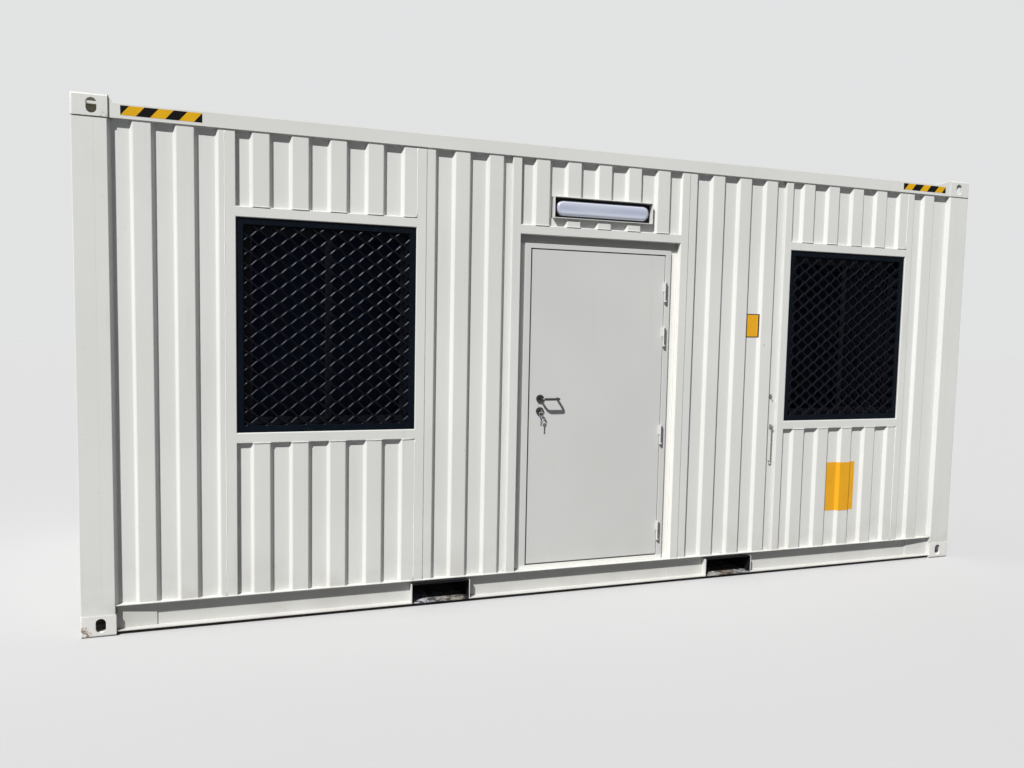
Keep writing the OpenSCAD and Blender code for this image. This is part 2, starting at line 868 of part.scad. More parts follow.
module leaf_hinges() {
    color("gainsboro") for (z = hinge_zs) difference() {
        union() {
            barrel_half(z + barrel_gap / 2);
            box(hinge_x - barrel_d / 2, leaf_x + leaf_w, hinge_y, leaf_face,
                z + barrel_gap / 2, z + barrel_l / 2);
        }
        translate([hinge_x, hinge_y, z])
            cylinder(h = barrel_gap / 2 + pin_l + 2 * over, d = pin_d + 2 * pin_play);
    }
}

// Door leaf, with the holes of its lock
module door_leaf() {
    color("lightgray") difference() {
        box(leaf_x, leaf_x + leaf_w, leaf_face, leaf_back, leaf_z, leaf_z + leaf_h);
        for (z = [lever_z, lock_z])
            translate([spindle_x, leaf_face - over, z]) rotate([-90, 0, 0])
                cylinder(h = leaf_t + 2 * over, d = lock_hole_d);
    }
}

// One rose on each side of the leaf for the lever, and one on each side for the lock,
// whose cylinder stands out of its roses
module rose(z, bore) {
    for (y = [leaf_face - rose_t, leaf_back])
        translate([spindle_x, y, z]) rotate([-90, 0, 0]) difference() {
            cylinder(h = rose_t, d = rose_d);
            translate([0, 0, -over]) cylinder(h = rose_t + 2 * over, d = bore);
        }
}

module door_roses() {
    color("silver") {
        rose(lever_z, lever_d + 2 * pin_play);
        rose(lock_z, cylinder_d);
        translate([spindle_x, leaf_face - rose_t - cylinder_out, lock_z]) rotate([-90, 0, 0])
            cylinder(h = leaf_t + 2 * (rose_t + cylinder_out), d = cylinder_d);
    }
}

// Lever handle on both sides of the leaf, joined by its spindle: a bent round bar,
// whose free end turns back to the leaf
module lever_bend(x, turn) {
    translate([x, lever_bend_r - lever_out, 0]) rotate([0, 0, turn])
        rotate_extrude(angle = 90) translate([lever_bend_r, 0]) circle(d = lever_d);
}

module lever_arm() {
    straight = lever_out - lever_bend_r;
    rotate([90, 0, 0]) cylinder(h = straight, d = lever_d);
    lever_bend(lever_bend_r, 180);
    translate([lever_bend_r, -lever_out, 0]) rotate([0, 90, 0])
        cylinder(h = lever_l - 2 * lever_bend_r, d = lever_d);
    lever_bend(lever_l - lever_bend_r, 270);
    translate([lever_l, -straight, 0]) rotate([-90, 0, 0])
        cylinder(h = straight - rose_t, d = lever_d);
}

module door_lever() {
    color("silver") translate([spindle_x, 0, lever_z]) {
        translate([0, leaf_face, 0]) lever_arm();
        translate([0, leaf_back, 0]) mirror([0, 1, 0]) lever_arm();
        translate([0, leaf_face - over, 0]) rotate([-90, 0, 0])
            cylinder(h = leaf_t + 2 * over, d = spindle_d);
    }
}

// Key in the lock, with a ring and a second key on it
key_bow_d = 24;
key_hole_d = 8;
key_t = 2.5;
key_w = 8;
key_stem = 16;
key_blade = 44;
ring_d = 30;
ring_wire = 2;

module key_bow() {
    rotate([0, 90, 0]) difference() {
        translate([0, 0, -key_t / 2]) cylinder(h = key_t, d = key_bow_d);
        translate([0, 0, -key_t / 2 - over]) cylinder(h = key_t + 2 * over, d = key_hole_d);
    }
}

module door_key() {
    face = leaf_face - rose_t - cylinder_out;
    bow_y = face - key_stem - key_bow_d / 2 + key_t;
    ring_z = lock_z - (key_hole_d + ring_d - ring_wire) / 2;
    color("silver") translate([spindle_x, 0, 0]) {
        translate([0, bow_y, lock_z]) key_bow();
        box(-key_t / 2, key_t / 2, face - key_stem, face, lock_z - key_w / 2, lock_z + key_w / 2);
        translate([0, bow_y, ring_z]) rotate([90, 0, 0])
            rotate_extrude() translate([ring_d / 2, 0]) circle(d = ring_wire);
        translate([0, bow_y, ring_z - (ring_d + key_hole_d) / 2]) {
            rotate([0, 0, 90]) key_bow();
            box(-key_w / 2, key_w / 2, -key_t / 2, key_t / 2,
                -key_bow_d / 2 - key_blade, -key_bow_d / 2 + over);
        }
    }
}

// Lamp over the door: a plate box let into the wall, with a rounded cover
lamp_x = door_gap_at - lamp_shift;
lamp_y0 = wall_in - lamp_out;
lamp_z = head_z + tube_w + lamp_up;

module lamp_block() {
    box(lamp_x - lamp_w / 2, lamp_x + lamp_w / 2, 0, tube_back,
        lamp_z - lamp_h / 2, lamp_z + lamp_h / 2);
}

module lamp_housing() {
    color("white") difference() {
        box(lamp_x - lamp_w / 2, lamp_x + lamp_w / 2, lamp_y0, tube_back,
            lamp_z - lamp_h / 2, lamp_z + lamp_h / 2);
        box(lamp_x - lamp_w / 2 + lamp_plate, lamp_x + lamp_w / 2 - lamp_plate, lamp_y0 - over,
            tube_back - lamp_plate, lamp_z - lamp_h / 2 + lamp_plate,
            lamp_z + lamp_h / 2 - lamp_plate);
    }
}

// Half outline of the cover: from its middle to its edge, with a rounded front edge
module cover_half() {
    r = cover_h / 2;
    square([r - cover_round, cover_d]);
    square([r, cover_d - cover_round]);
    translate([r - cover_round, cover_d - cover_round]) circle(cover_round);
}

module lamp_cover() {
    run = cover_w - cover_h;
    color("lightsteelblue") translate([lamp_x, tube_back - lamp_plate, lamp_z]) rotate([90, 0, 0]) {
        for (s = [-1, 1]) translate([s * run / 2, 0, 0]) rotate_extrude() cover_half();
        rotate([90, 0, 90]) translate([0, 0, -run / 2]) linear_extrude(run) {
            cover_half();
            mirror([1, 0]) cover_half();
        }
    }
}

// Holdback of the open door: a keeper that the lever meets, and a hook that hangs
// from a staple under it
keeper_x = 2 * hinge_x - spindle_x;
hook_wall_y = wall_in + rib_depth;

module wall_staple(x, z) {
    box(x - keeper_w / 2, x + keeper_w / 2, hook_wall_y - keeper_t, hook_wall_y,
        z - keeper_h / 2, z + keeper_h / 2);
    translate([x, hook_wall_y - staple_out, z]) rotate([-90, 0, 0])
        cylinder(h = staple_out - keeper_t + over, d = hook_wire);
    translate([x, hook_wall_y - staple_out, z]) sphere(d = hook_wire);
}

// Rod with an eye round the staple and a bend at its foot
module hook_rod() {
    rotate([90, 0, 0]) rotate_extrude() translate([hook_r, 0]) circle(d = hook_wire);
    translate([0, 0, -hook_l]) cylinder(h = hook_l - hook_r, d = hook_wire);
    translate([-hook_r, 0, -hook_l]) rotate([-90, 0, 0])
        rotate_extrude(angle = 180) translate([hook_r, 0]) circle(d = hook_wire);
    translate([-2 * hook_r, 0, -hook_l]) sphere(d = hook_wire);
}

module door_holdback() {
    staple_x = keeper_x + staple_shift;
    staple_z = lever_z - staple_drop;
    color("gainsboro") {
        wall_staple(keeper_x, lever_z);
        wall_staple(staple_x, staple_z);
        translate([staple_x, hook_wall_y - staple_out + hook_wire / 2, staple_z - hook_r + hook_wire])
            hook_rod();
    }
}

// Lining: boards on the insulation, split beside and over the door
module lining_side(x0, x1, window_x) {
    difference() {
        box(x0, x1, tube_back, room_in, floor_z, ceiling_z);
        box(window_x, window_x + window_w, tube_back - over, room_in + over, sill_z, head_z);
    }
}

module lining_front() {
    color("ivory") {
        lining_side(tube_back, frame_x0, window_left_x);
        lining_side(frame_x1, length - tube_back, window_right_x);
    }
}

module lining_over_door() {
    color("ivory")
        box(frame_x0, frame_x1, tube_back, room_in, frame_top_z, ceiling_z);
}

module lining_back() {
    color("ivory") at_back()
        box(tube_back, length - tube_back, tube_back, room_in, floor_z, ceiling_z);
}

module lining_end() {
    color("ivory") box(tube_back, room_in, room_in, width - room_in, floor_z, ceiling_z);
}

module ceiling() {
    color("ivory")
        box(tube_back, length - tube_back, tube_back, width - tube_back, ceiling_z, top_casting_z);
}

placed() bottom_castings();  // castings_bottom_front
placed() at_back() bottom_castings();  // castings_bottom_back
placed() top_castings();  // castings_top_front
placed() at_back() top_castings();  // castings_top_back
placed() corner_posts();  // corner_posts_front
placed() at_back() corner_posts();  // corner_posts_back
placed() top_rail();  // top_rail_front
placed() at_back() top_rail();  // top_rail_back
placed() { top_end_rail(); at_right() top_end_rail(); }  // top_end_rails
placed() bottom_rail();  // bottom_rail_front
placed() at_back() bottom_rail();  // bottom_rail_back
placed() { bottom_end_rail(); at_right() bottom_end_rail(); }  // bottom_end_rails
placed() cross_members();
placed() fork_pockets();
placed() floor_deck();
placed() roof();
placed() back_wall();
placed() { end_wall(); at_right() end_wall(); }  // end_walls
placed() front_wall_left();
placed() front_wall_window(window_left_x);  // front_wall_window_left
placed() front_wall_mid_left();
placed() front_wall_over_door();
placed() front_wall_mid_right();
placed() front_wall_window(window_right_x);  // front_wall_window_right
placed() front_wall_right();
placed() door_surround();
placed() { window_surround(window_left_x); window_surround(window_right_x); }  // window_surrounds
placed() { window_frame(window_left_x); window_frame(window_right_x); }  // window_frames
placed() { window_pane(window_left_x); window_pane(window_right_x); }  // window_panes
placed() grille(window_left_x, left_knot);  // grille_left
placed() grille(window_right_x, right_knot);  // grille_right
placed() door_frame();
placed() frame_hinges();
placed() door_leaf();
placed() leaf_hinges();
placed() door_roses();
placed() door_key();
placed() door_lever();
placed() lamp_housing();
placed() lamp_cover();
placed() door_holdback();
placed() lining_front();
placed() lining_over_door();
placed() lining_back();
placed() { lining_end(); at_right() lining_end(); }  // lining_ends
placed() ceiling();
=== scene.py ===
import math
import random

import bmesh
import bpy
from mathutils import Matrix, Vector, noise


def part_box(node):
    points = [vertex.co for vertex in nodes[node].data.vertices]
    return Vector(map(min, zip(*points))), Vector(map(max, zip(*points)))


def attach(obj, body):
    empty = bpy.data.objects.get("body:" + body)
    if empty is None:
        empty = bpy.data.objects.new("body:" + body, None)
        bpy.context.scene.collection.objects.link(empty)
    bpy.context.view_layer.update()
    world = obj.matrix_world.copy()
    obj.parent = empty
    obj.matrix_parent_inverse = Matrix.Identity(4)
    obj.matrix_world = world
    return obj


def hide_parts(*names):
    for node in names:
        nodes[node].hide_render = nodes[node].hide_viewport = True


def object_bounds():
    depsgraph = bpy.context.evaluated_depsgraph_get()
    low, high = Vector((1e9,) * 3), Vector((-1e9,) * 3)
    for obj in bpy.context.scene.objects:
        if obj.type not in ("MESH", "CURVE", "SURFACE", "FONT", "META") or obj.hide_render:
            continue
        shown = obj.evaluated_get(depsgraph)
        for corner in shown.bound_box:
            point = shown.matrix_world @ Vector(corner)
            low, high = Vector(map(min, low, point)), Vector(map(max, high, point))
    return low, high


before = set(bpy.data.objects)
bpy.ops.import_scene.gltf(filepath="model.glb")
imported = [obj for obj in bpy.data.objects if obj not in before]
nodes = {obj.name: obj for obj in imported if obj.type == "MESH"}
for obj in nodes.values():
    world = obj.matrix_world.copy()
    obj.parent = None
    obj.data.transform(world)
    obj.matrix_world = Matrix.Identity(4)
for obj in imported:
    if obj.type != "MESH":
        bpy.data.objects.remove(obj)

MM = 0.001
UP = Vector((0, 0, 1))
FRONT = Vector((0, -1, 0))
BACK = Vector((0, 1, 0))
LEFT = Vector((-1, 0, 0))
RIGHT = Vector((1, 0, 0))

cad_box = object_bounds()

# The left end and the outermost front plane, from which places on the front are measured
LEFT_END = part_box("castings_bottom_front")[0].x
FRONT_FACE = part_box("castings_bottom_front")[0].y
BACK_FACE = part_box("castings_bottom_back")[1].y
MIDDLE = (FRONT_FACE + BACK_FACE) / 2
# Half the cabin's length, its width over the castings and its height
HALF_X = -LEFT_END
HALF_Y = BACK_FACE - MIDDLE
HALF_Z = cad_box[1].z / 2

# Camera: place, heading to the right of +Y, tilt and roll, as found from the castings
CAMERA_AT = (-2.1145, -5.7762, 1.7225)
CAMERA_HEADING = 18.33
CAMERA_TILT = -4.14
CAMERA_ROLL = 1.15
CAMERA_LENS = 27.1

# Light: the sun, the sky's light in front of and behind the cabin and how far back the one turns into
# the other, and how the sky and the floor look to the camera
SUN_TRAVEL = (0.495, 0.471, -0.730)
SUN_STRENGTH = 5.85
SUN_ANGLE = 2.0
SUN_COLOUR = (1.0, 0.985, 0.96)
SKY_LIGHT = (0.089, 0.097, 0.119, 1.0)
SKY_BEHIND = (0.66, 0.67, 0.68, 1.0)
SKY_TURN = (0.15, 0.80)
SKY_SHOWN = (0.76, 0.765, 0.77, 1.0)
FLOOR_SHOWN = (0.476, 0.480, 0.487, 1.0)
FLOOR_BOUNCE = (0.12, 0.12, 0.12, 1.0)
FLOOR_SIZE = 60.0

# Pressed wall sheets
BEND_RADIUS = 10 * MM
BEND_STEPS = 4
SHEET_T = 2 * MM
SHEET_ROW = 50 * MM
DENT_DEPTH = 0.7 * MM
BEAD_RADIUS = 3.2 * MM
BEAD_STEP = 30 * MM
JOINT_RADIUS = 3.2 * MM
JOINT_STEP = 25 * MM
JOINT_SHIFT = 2.5 * MM
JOINT_SUNK = 2.2 * MM


def front_x(x):
    """Millimetres from the left end, as metres in the row frame."""
    return LEFT_END + x * MM


def front_y(depth):
    """Millimetres behind the outermost front plane, as metres in the row frame."""
    return FRONT_FACE + depth * MM


class Shading:
    """Nodes that work out colours, in the tree of a material or of the sky."""

    def __init__(self, tree):
        self.tree = tree

    def node(self, kind, **settings):
        made = self.tree.nodes.new(kind)
        for key, value in settings.items():
            setattr(made, key, value)
        return made

    def feed(self, socket, value):
        if isinstance(value, bpy.types.NodeSocket):
            self.tree.links.new(value, socket)
        else:
            socket.default_value = value

    def fill(self, node, **inputs):
        """Feeds a node's sockets by their names."""
        for name, value in inputs.items():
            self.feed(node.inputs[name.replace("_", " ")], value)
        return node

    def math(self, operation, a, b=0.0, c=0.0):
        made = self.node("ShaderNodeMath", operation=operation)
        for socket, value in zip(made.inputs, (a, b, c)):
            self.feed(socket, value)
        return made.outputs[0]

    def ramp(self, value, low, high, out_low=0.0, out_high=1.0):
        """Maps low to high onto the two results, smoothly and within them."""
        made = self.node("ShaderNodeMapRange", interpolation_type="SMOOTHSTEP")
        for socket, number in zip(made.inputs[:5], (value, low, high, out_low, out_high)):
            self.feed(socket, number)
        return made.outputs[0]

    def mix(self, mask, a, b):
        made = self.node("ShaderNodeMix", data_type="RGBA")
        return self.fill(made, Factor=mask, A=a, B=b).outputs["Result"]


class Finish(Shading):
    """A procedural material on one Principled shader, in the object's own metres."""

    def __init__(self, name, colour, rough, metallic=0.0):
        self.material = bpy.data.materials.new(name + "_look")
        self.material.use_nodes = True
        super().__init__(self.material.node_tree)
        self.shader = self.tree.nodes["Principled BSDF"]
        self.fill(self.shader, Metallic=metallic)
        self.place = self.node("ShaderNodeTexCoord").outputs["Object"]
        split = self.node("ShaderNodeSeparateXYZ")
        self.feed(split.inputs[0], self.place)
        self.x, self.y, self.z = split.outputs
        self.colour = (*colour, 1.0)
        self.rough = rough
        self.normal = None

    def noise(self, scale, detail=3.0, stretch=(1, 1, 1), shift=(0, 0, 0), roughness=0.55):
        mapping = self.fill(self.node("ShaderNodeMapping"), Vector=self.place, Scale=stretch, Location=shift)
        made = self.fill(self.node("ShaderNodeTexNoise"), Vector=mapping.outputs[0], Scale=scale,
                         Detail=detail, Roughness=roughness)
        return made.outputs[0]

    def patches(self, scale, detail, low, high, amount=1.0):
        """Cloudy patches, where noise rises from low to high."""
        return self.ramp(self.noise(scale, detail), low, high, 0.0, amount)

    def within(self, value, low, high):
        """One between two values, else nothing."""
        return self.math("COMPARE", value, (low + high) / 2, (high - low) / 2)

    def above(self, value, limit):
        return self.math("GREATER_THAN", value, limit)

    def below(self, value, limit):
        return self.math("LESS_THAN", value, limit)

    def distance(self, value, place):
        """How far a value lies from another, either way."""
        return self.math("ABSOLUTE", self.math("SUBTRACT", value, place))

    def times(self, *values):
        """The product of some values."""
        product = values[0]
        for value in values[1:]:
            product = self.math("MULTIPLY", product, value)
        return product

    def over_box(self, low, high, margin):
        """One within a box as seen from the front, and in a margin round it."""
        return self.times(self.within(self.x, low.x - margin, high.x + margin),
                          self.within(self.z, low.z - margin, high.z + margin))

    def near(self, point, radius):
        """One at a point, falling to nothing at the radius."""
        apart = self.node("ShaderNodeVectorMath", operation="DISTANCE")
        self.feed(apart.inputs[0], self.place)
        self.feed(apart.inputs[1], point)
        return self.ramp(apart.outputs["Value"], radius, radius * 0.2)

    def layer(self, mask, colour, rough=None):
        """Lays another colour, and another roughness, over what is there."""
        self.colour = self.mix(mask, self.colour, (*colour, 1.0))
        if rough is not None:
            made = self.node("ShaderNodeMix", data_type="FLOAT")
            self.rough = self.fill(made, Factor=mask, A=self.rough, B=rough).outputs["Result"]

    def bump(self, height, depth, strength=1.0):
        made = self.fill(self.node("ShaderNodeBump"), Strength=strength, Distance=depth, Height=height)
        if self.normal is not None:
            self.fill(made, Normal=self.normal)
        self.normal = made.outputs[0]

    def grain(self, scale, detail, depth, strength):
        """Fine unevenness of the surface, its depth in mm."""
        self.bump(self.noise(scale, detail), depth * MM, strength)

    def done(self, **sockets):
        self.fill(self.shader, Base_Color=self.colour, Roughness=self.rough, **sockets)
        if self.normal is not None:
            self.fill(self.shader, Normal=self.normal)
        return self.material


RUST = (0.17, 0.08, 0.04)
DIRT = (0.30, 0.27, 0.22)
# Places of rust, and of grey scuffs, on the front: mm along, behind the front, up, and the reach
RUST_SPOTS = ((22, 2, 46, 48), (42, 2, 18, 38))
SCUFF_SPOTS = ((160, 0, 2800, 22), (172, 4, 2786, 20), (148, 0, 2783, 12), (55, 4, 2030, 14),
               (150, 5, 2370, 12), (700, 22, 470, 18), (4290, 25, 1640, 34), (2540, 40, 236, 16),
               (1290, 14, 1070, 14))


def weathered(finish, dust):
    """Wear that every painted piece shows: cloudy tone, run-off, dust near the ground and specks."""
    finish.rough = finish.ramp(finish.noise(9, 4), 0.3, 0.7, finish.rough - 0.06, finish.rough + 0.10)
    tone = finish.patches(0.9, 2, 0.35, 0.65)
    finish.colour = finish.mix(tone, finish.colour, [c * 0.955 for c in finish.colour[:3]] + [1.0])
    brushed = finish.noise(1.0, 4, (38, 38, 0.8), (3, 1, 0))
    finish.layer(finish.ramp(brushed, 0.45, 0.75, 0.0, 0.10), (0.56, 0.55, 0.515))
    runs = finish.ramp(finish.noise(1.0, 3, (17, 17, 0.5)), 0.56, 0.78)
    areas = finish.ramp(finish.noise(2.2, 3, shift=(5, 0, 2)), 0.4, 0.7)
    finish.layer(finish.times(runs, areas, 0.22), (0.42, 0.39, 0.33))
    low = finish.ramp(finish.z, 0.55, 0.0)
    patchy = finish.patches(5.0, 5, 0.35, 0.75)
    finish.layer(finish.times(low, patchy, dust), DIRT, 0.8)
    specks = finish.ramp(finish.noise(85, 2, shift=(2, 7, 1)), 0.735, 0.775)
    finish.layer(finish.times(specks, 0.5), (0.20, 0.17, 0.13))


def spotted(finish, spots, level, colour, rim):
    """Paint that has gone at a few places, with a stained rim."""
    near = None
    for x, depth, z, reach in spots:
        here = finish.near((front_x(x), front_y(depth), z * MM), reach * MM)
        near = here if near is None else finish.math("MAXIMUM", near, here)
    broken = finish.times(near, finish.noise(75, 5, roughness=0.7))
    finish.layer(finish.ramp(broken, level - 0.14, level, 0.0, 0.5), rim, 0.6)
    finish.layer(finish.ramp(broken, level - 0.02, level + 0.05, 0.0, 0.9), colour, 0.85)
    return broken


# Corner castings: how far their paint reaches along X, Y and Z, and the limits of their hollows,
# all from the cabin's outer faces
CASTING = (179 * MM, 163 * MM, 118.5 * MM)
HOLLOW_X = (15 * MM, 166.5 * MM)
HOLLOW_Y = (15 * MM, 150.5 * MM)
HOLLOW_OVER = 27.5 * MM
# Seam under each top casting: its reach from the cabin's end, and its place under the top
SEAM_X = 181 * MM
SEAM_UNDER = (116.5 * MM, 120.5 * MM)
# Seam down each post: from the cabin's end, and how many mm behind the front it shows
FOLD_X = 109 * MM
FOLD_IN = 7
# Where the painted light on the door's right jamb begins, in mm behind the front
LIT_JAMB_IN = 16
# Heights between which splashes fade on the bottom rails, and over which dust lies
SPLASH_Z = (160 * MM, 166 * MM)
ROOF_DUST_Z = 2.7


def casting_marks(finish):
    """Castings rough and speckled outside, and dirty inside, with painted light in the upper hollows and
    painted shade in the lower ones. Gives their mask and their grain.
    """
    end = finish.math("ABSOLUTE", finish.x)
    side = finish.distance(finish.y, MIDDLE)
    level = finish.distance(finish.z, HALF_Z)
    casting = finish.times(finish.above(end, HALF_X - CASTING[0]), finish.above(side, HALF_Y - CASTING[1]),
                           finish.above(level, HALF_Z - CASTING[2]))
    hollow = finish.times(casting, finish.within(end, HALF_X - HOLLOW_X[1], HALF_X - HOLLOW_X[0]),
                          finish.within(side, HALF_Y - HOLLOW_Y[1], HALF_Y - HOLLOW_Y[0]),
                          finish.below(level, HALF_Z - HOLLOW_OVER))
    lower = finish.below(finish.z, HALF_Z)
    grain = finish.noise(130, 4, roughness=0.65)
    finish.layer(finish.times(casting, lower, 0.8), (0.70, 0.70, 0.68))
    finish.layer(finish.times(casting, finish.ramp(grain, 0.52, 0.66, 0.0, 0.30)), (0.40, 0.38, 0.34), 0.6)
    # Dirt in the hollows, lighter in the upper castings as painted light and darker in the lower ones as
    # painted shade
    grimy = finish.times(hollow, finish.ramp(finish.noise(45, 4), 0.3, 0.6, 0.78, 0.97))
    finish.layer(grimy, (0.53, 0.50, 0.41), 0.85)
    finish.layer(finish.times(grimy, lower), (0.27, 0.255, 0.225), 0.85)
    return casting, grain


def roof_dust(finish):
    """Dust settled on top, which only shows from above."""
    facing = finish.node("ShaderNodeSeparateXYZ")
    finish.feed(facing.inputs[0], finish.node("ShaderNodeTexCoord").outputs["Normal"])
    on_top = finish.times(finish.ramp(facing.outputs[2], 0.4, 0.9), finish.above(finish.z, ROOF_DUST_Z))
    settled = finish.ramp(finish.noise(2.4, 5, (0.6, 1, 1)), 0.3, 0.7, 0.55, 0.95)
    finish.layer(finish.times(on_top, settled), (0.375, 0.37, 0.347), 0.7)


def seam_marks(finish):
    """The seam between each top casting and its post, and one down each post."""
    end = finish.math("ABSOLUTE", finish.x)
    top = cad_box[1].z
    seam = finish.times(finish.within(finish.z, top - SEAM_UNDER[1], top - SEAM_UNDER[0]),
                        finish.above(end, HALF_X - SEAM_X))
    filled = finish.ramp(finish.noise(60, 3), 0.3, 0.6, 0.25, 0.8)
    finish.layer(finish.times(seam, filled), (0.10, 0.09, 0.08))
    fold = finish.ramp(finish.distance(end, HALF_X - FOLD_X), 2.8 * MM, 0.8 * MM)
    finish.layer(finish.times(fold, finish.below(finish.y, front_y(FOLD_IN)), 0.22), (0.45, 0.44, 0.41))


def painted_light_and_shade_at_fittings(finish):
    """Painted shade on the holdback, whose front parts are painted dark grey, and painted light on the
    door's right jamb, painted brighter.
    """
    low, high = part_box("door_holdback")
    # Painted shade: the holdback's front parts painted dark grey
    proud = finish.times(finish.over_box(low, high, 1 * MM), finish.below(finish.y, high.y - 1.5 * MM))
    painted_dark_shade = finish.ramp(finish.noise(60, 3), 0.3, 0.6, 0.7, 0.97)
    finish.layer(finish.times(proud, painted_dark_shade), (0.12, 0.115, 0.105))
    # Painted light: the door's right jamb painted brighter, as if in full sun
    jamb_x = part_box("door_frame")[1].x
    painted_light_jamb = finish.times(finish.within(finish.x, jamb_x - 1.5 * MM, jamb_x + 1.5 * MM),
                        finish.above(finish.y, front_y(LIT_JAMB_IN)))
    finish.layer(painted_light_jamb, (0.76, 0.76, 0.72))


def rail_marks(finish, casting):
    """Bottom rails greyed by splashes, and chipped and rusty along the lower edge."""
    between = finish.below(finish.math("ABSOLUTE", finish.x), HALF_X - CASTING[0])
    splashed = finish.ramp(finish.z, SPLASH_Z[1], SPLASH_Z[0])
    finish.layer(finish.times(between, splashed, 0.55), (0.47, 0.47, 0.45), 0.5)
    edge = finish.times(finish.ramp(finish.z, 28 * MM, 20 * MM), finish.math("SUBTRACT", 1.0, casting),
                        finish.noise(38, 5, roughness=0.7))
    finish.layer(finish.ramp(edge, 0.46, 0.56, 0.0, 0.75), (0.36, 0.20, 0.10), 0.8)


def white_paint():
    finish = Finish("white_paint", (0.636, 0.643, 0.626), 0.40)
    weathered(finish, 0.32)
    # Painted shade together with grime: darker in creases, corners and recesses, where ambient occlusion
    # finds them
    creases = finish.fill(finish.node("ShaderNodeAmbientOcclusion", samples=4), Distance=26 * MM)
    crease_shade_and_grime = finish.ramp(creases.outputs["AO"], 0.72, 0.30)
    uneven = finish.ramp(finish.noise(11, 4), 0.25, 0.7, 0.15, 1.0)
    finish.layer(finish.times(crease_shade_and_grime, uneven, 0.42), (0.31, 0.29, 0.255), 0.6)
    casting, grain = casting_marks(finish)
    roof_dust(finish)
    seam_marks(finish)
    painted_light_and_shade_at_fittings(finish)
    rail_marks(finish, casting)
    broken = spotted(finish, RUST_SPOTS, 0.47, (0.20, 0.15, 0.12), (0.46, 0.41, 0.36))
    scuffs = spotted(finish, SCUFF_SPOTS, 0.50, (0.30, 0.29, 0.27), (0.53, 0.52, 0.49))
    finish.grain(4.0, 2, 2.0, 0.35)
    finish.grain(300, 2, 0.25, 0.25)
    finish.bump(finish.times(casting, grain), 0.9 * MM, 0.6)
    finish.bump(finish.math("MAXIMUM", broken, scuffs), -0.6 * MM, 0.5)
    return finish.done(Specular_IOR_Level=0.4)


# Flange of the door frame: its width beside and over the frame, and its place behind the front in mm
FLANGE_BESIDE = 54.5 * MM
FLANGE_OVER = 50 * MM
FLANGE_IN = 54
# Front of the door leaf and of what the painted shade along its edges covers, behind the front in mm
LEAF_IN = 42
GAP_SHADE_IN = 46
# Width of the painted shade along the leaf's lower and free edges, standing in for the shadows in its gaps
GAP_SHADE_LOW = 6 * MM
GAP_SHADE_FREE = 3 * MM
# Middle of the hands' smears round the lever: mm along, behind the front and up, and their reach
SMEARS = (2660, 43, 1220, 260)


def door_paint():
    finish = Finish("door_paint", (0.560, 0.566, 0.558), 0.36)
    weathered(finish, 0.15)
    # Painted light on the threshold and on the flange beside the right jamb, and painted shade on the flange
    # over the head
    frame_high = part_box("door_frame")[1]
    low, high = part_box("door_leaf")
    recessed = finish.above(finish.y, front_y(FLANGE_IN))
    beside = finish.times(recessed, finish.above(finish.x, frame_high.x - FLANGE_BESIDE))
    painted_light_sill = finish.times(finish.below(finish.z, low.z - 3 * MM),
                        finish.below(finish.y, front_y(LEAF_IN)))
    finish.layer(finish.math("MAXIMUM", beside, painted_light_sill), (0.71, 0.71, 0.68))
    # Painted shade on the flange over the head of the frame
    over = finish.times(recessed, finish.above(finish.z, frame_high.z - FLANGE_OVER))
    finish.layer(over, (0.34, 0.34, 0.33), 0.5)
    # Painted shade along the leaf's lower and free edges, where the shadows in its gaps fall
    edge = finish.math("MAXIMUM", finish.below(finish.z, low.z + GAP_SHADE_LOW),
                       finish.below(finish.x, low.x + GAP_SHADE_FREE))
    leaf = finish.times(finish.over_box(low, high, 0.5 * MM), finish.below(finish.y, front_y(GAP_SHADE_IN)))
    finish.layer(finish.times(leaf, edge), (0.12, 0.115, 0.105), 0.6)
    hands = finish.near((front_x(SMEARS[0]), front_y(SMEARS[1]), SMEARS[2] * MM), SMEARS[3] * MM)
    smears = finish.ramp(finish.noise(16, 4, (1, 1, 0.6)), 0.45, 0.8)
    finish.layer(finish.times(hands, smears, 0.25), (0.46, 0.45, 0.42), 0.55)
    finish.grain(260, 2, 0.2, 0.2)
    return finish.done(Specular_IOR_Level=0.4)


def underbody_paint():
    finish = Finish("underbody_paint", (0.055, 0.052, 0.05), 0.75)
    finish.layer(finish.patches(7, 5, 0.45, 0.7, 0.7), (0.13, 0.085, 0.06), 0.9)
    finish.layer(finish.patches(60, 4, 0.62, 0.7, 0.6), RUST, 0.9)
    finish.grain(120, 3, 0.6, 0.5)
    return finish.done()


# Fork pockets: from the cabin's middle to each pocket's, and from there to just inside its side plates
POCKET_X = 1036 * MM
POCKET_HALF = 180.5 * MM
# Top of the straps as painted, the front strip of the top plates left black as painted shade, and how deep
# the front is white, in mm
STRAP_TOP = 27.5 * MM
POCKET_SHADED_LIP = 24 * MM
POCKET_WHITE = 62
STRAP_WANDER = 0.09
# Patches on the straps of the pockets: from and to in mm from the cabin's middle, and colour
STRAP_PATCHES = ((-1215, -1108, (0.44, 0.45, 0.49)), (-1108, -1010, (0.25, 0.25, 0.25)),
                 (-1010, -885, (0.30, 0.27, 0.24)), (862, 985, (0.40, 0.385, 0.375)),
                 (985, 1085, (0.20, 0.16, 0.135)), (1085, 1212, (0.30, 0.30, 0.31)))


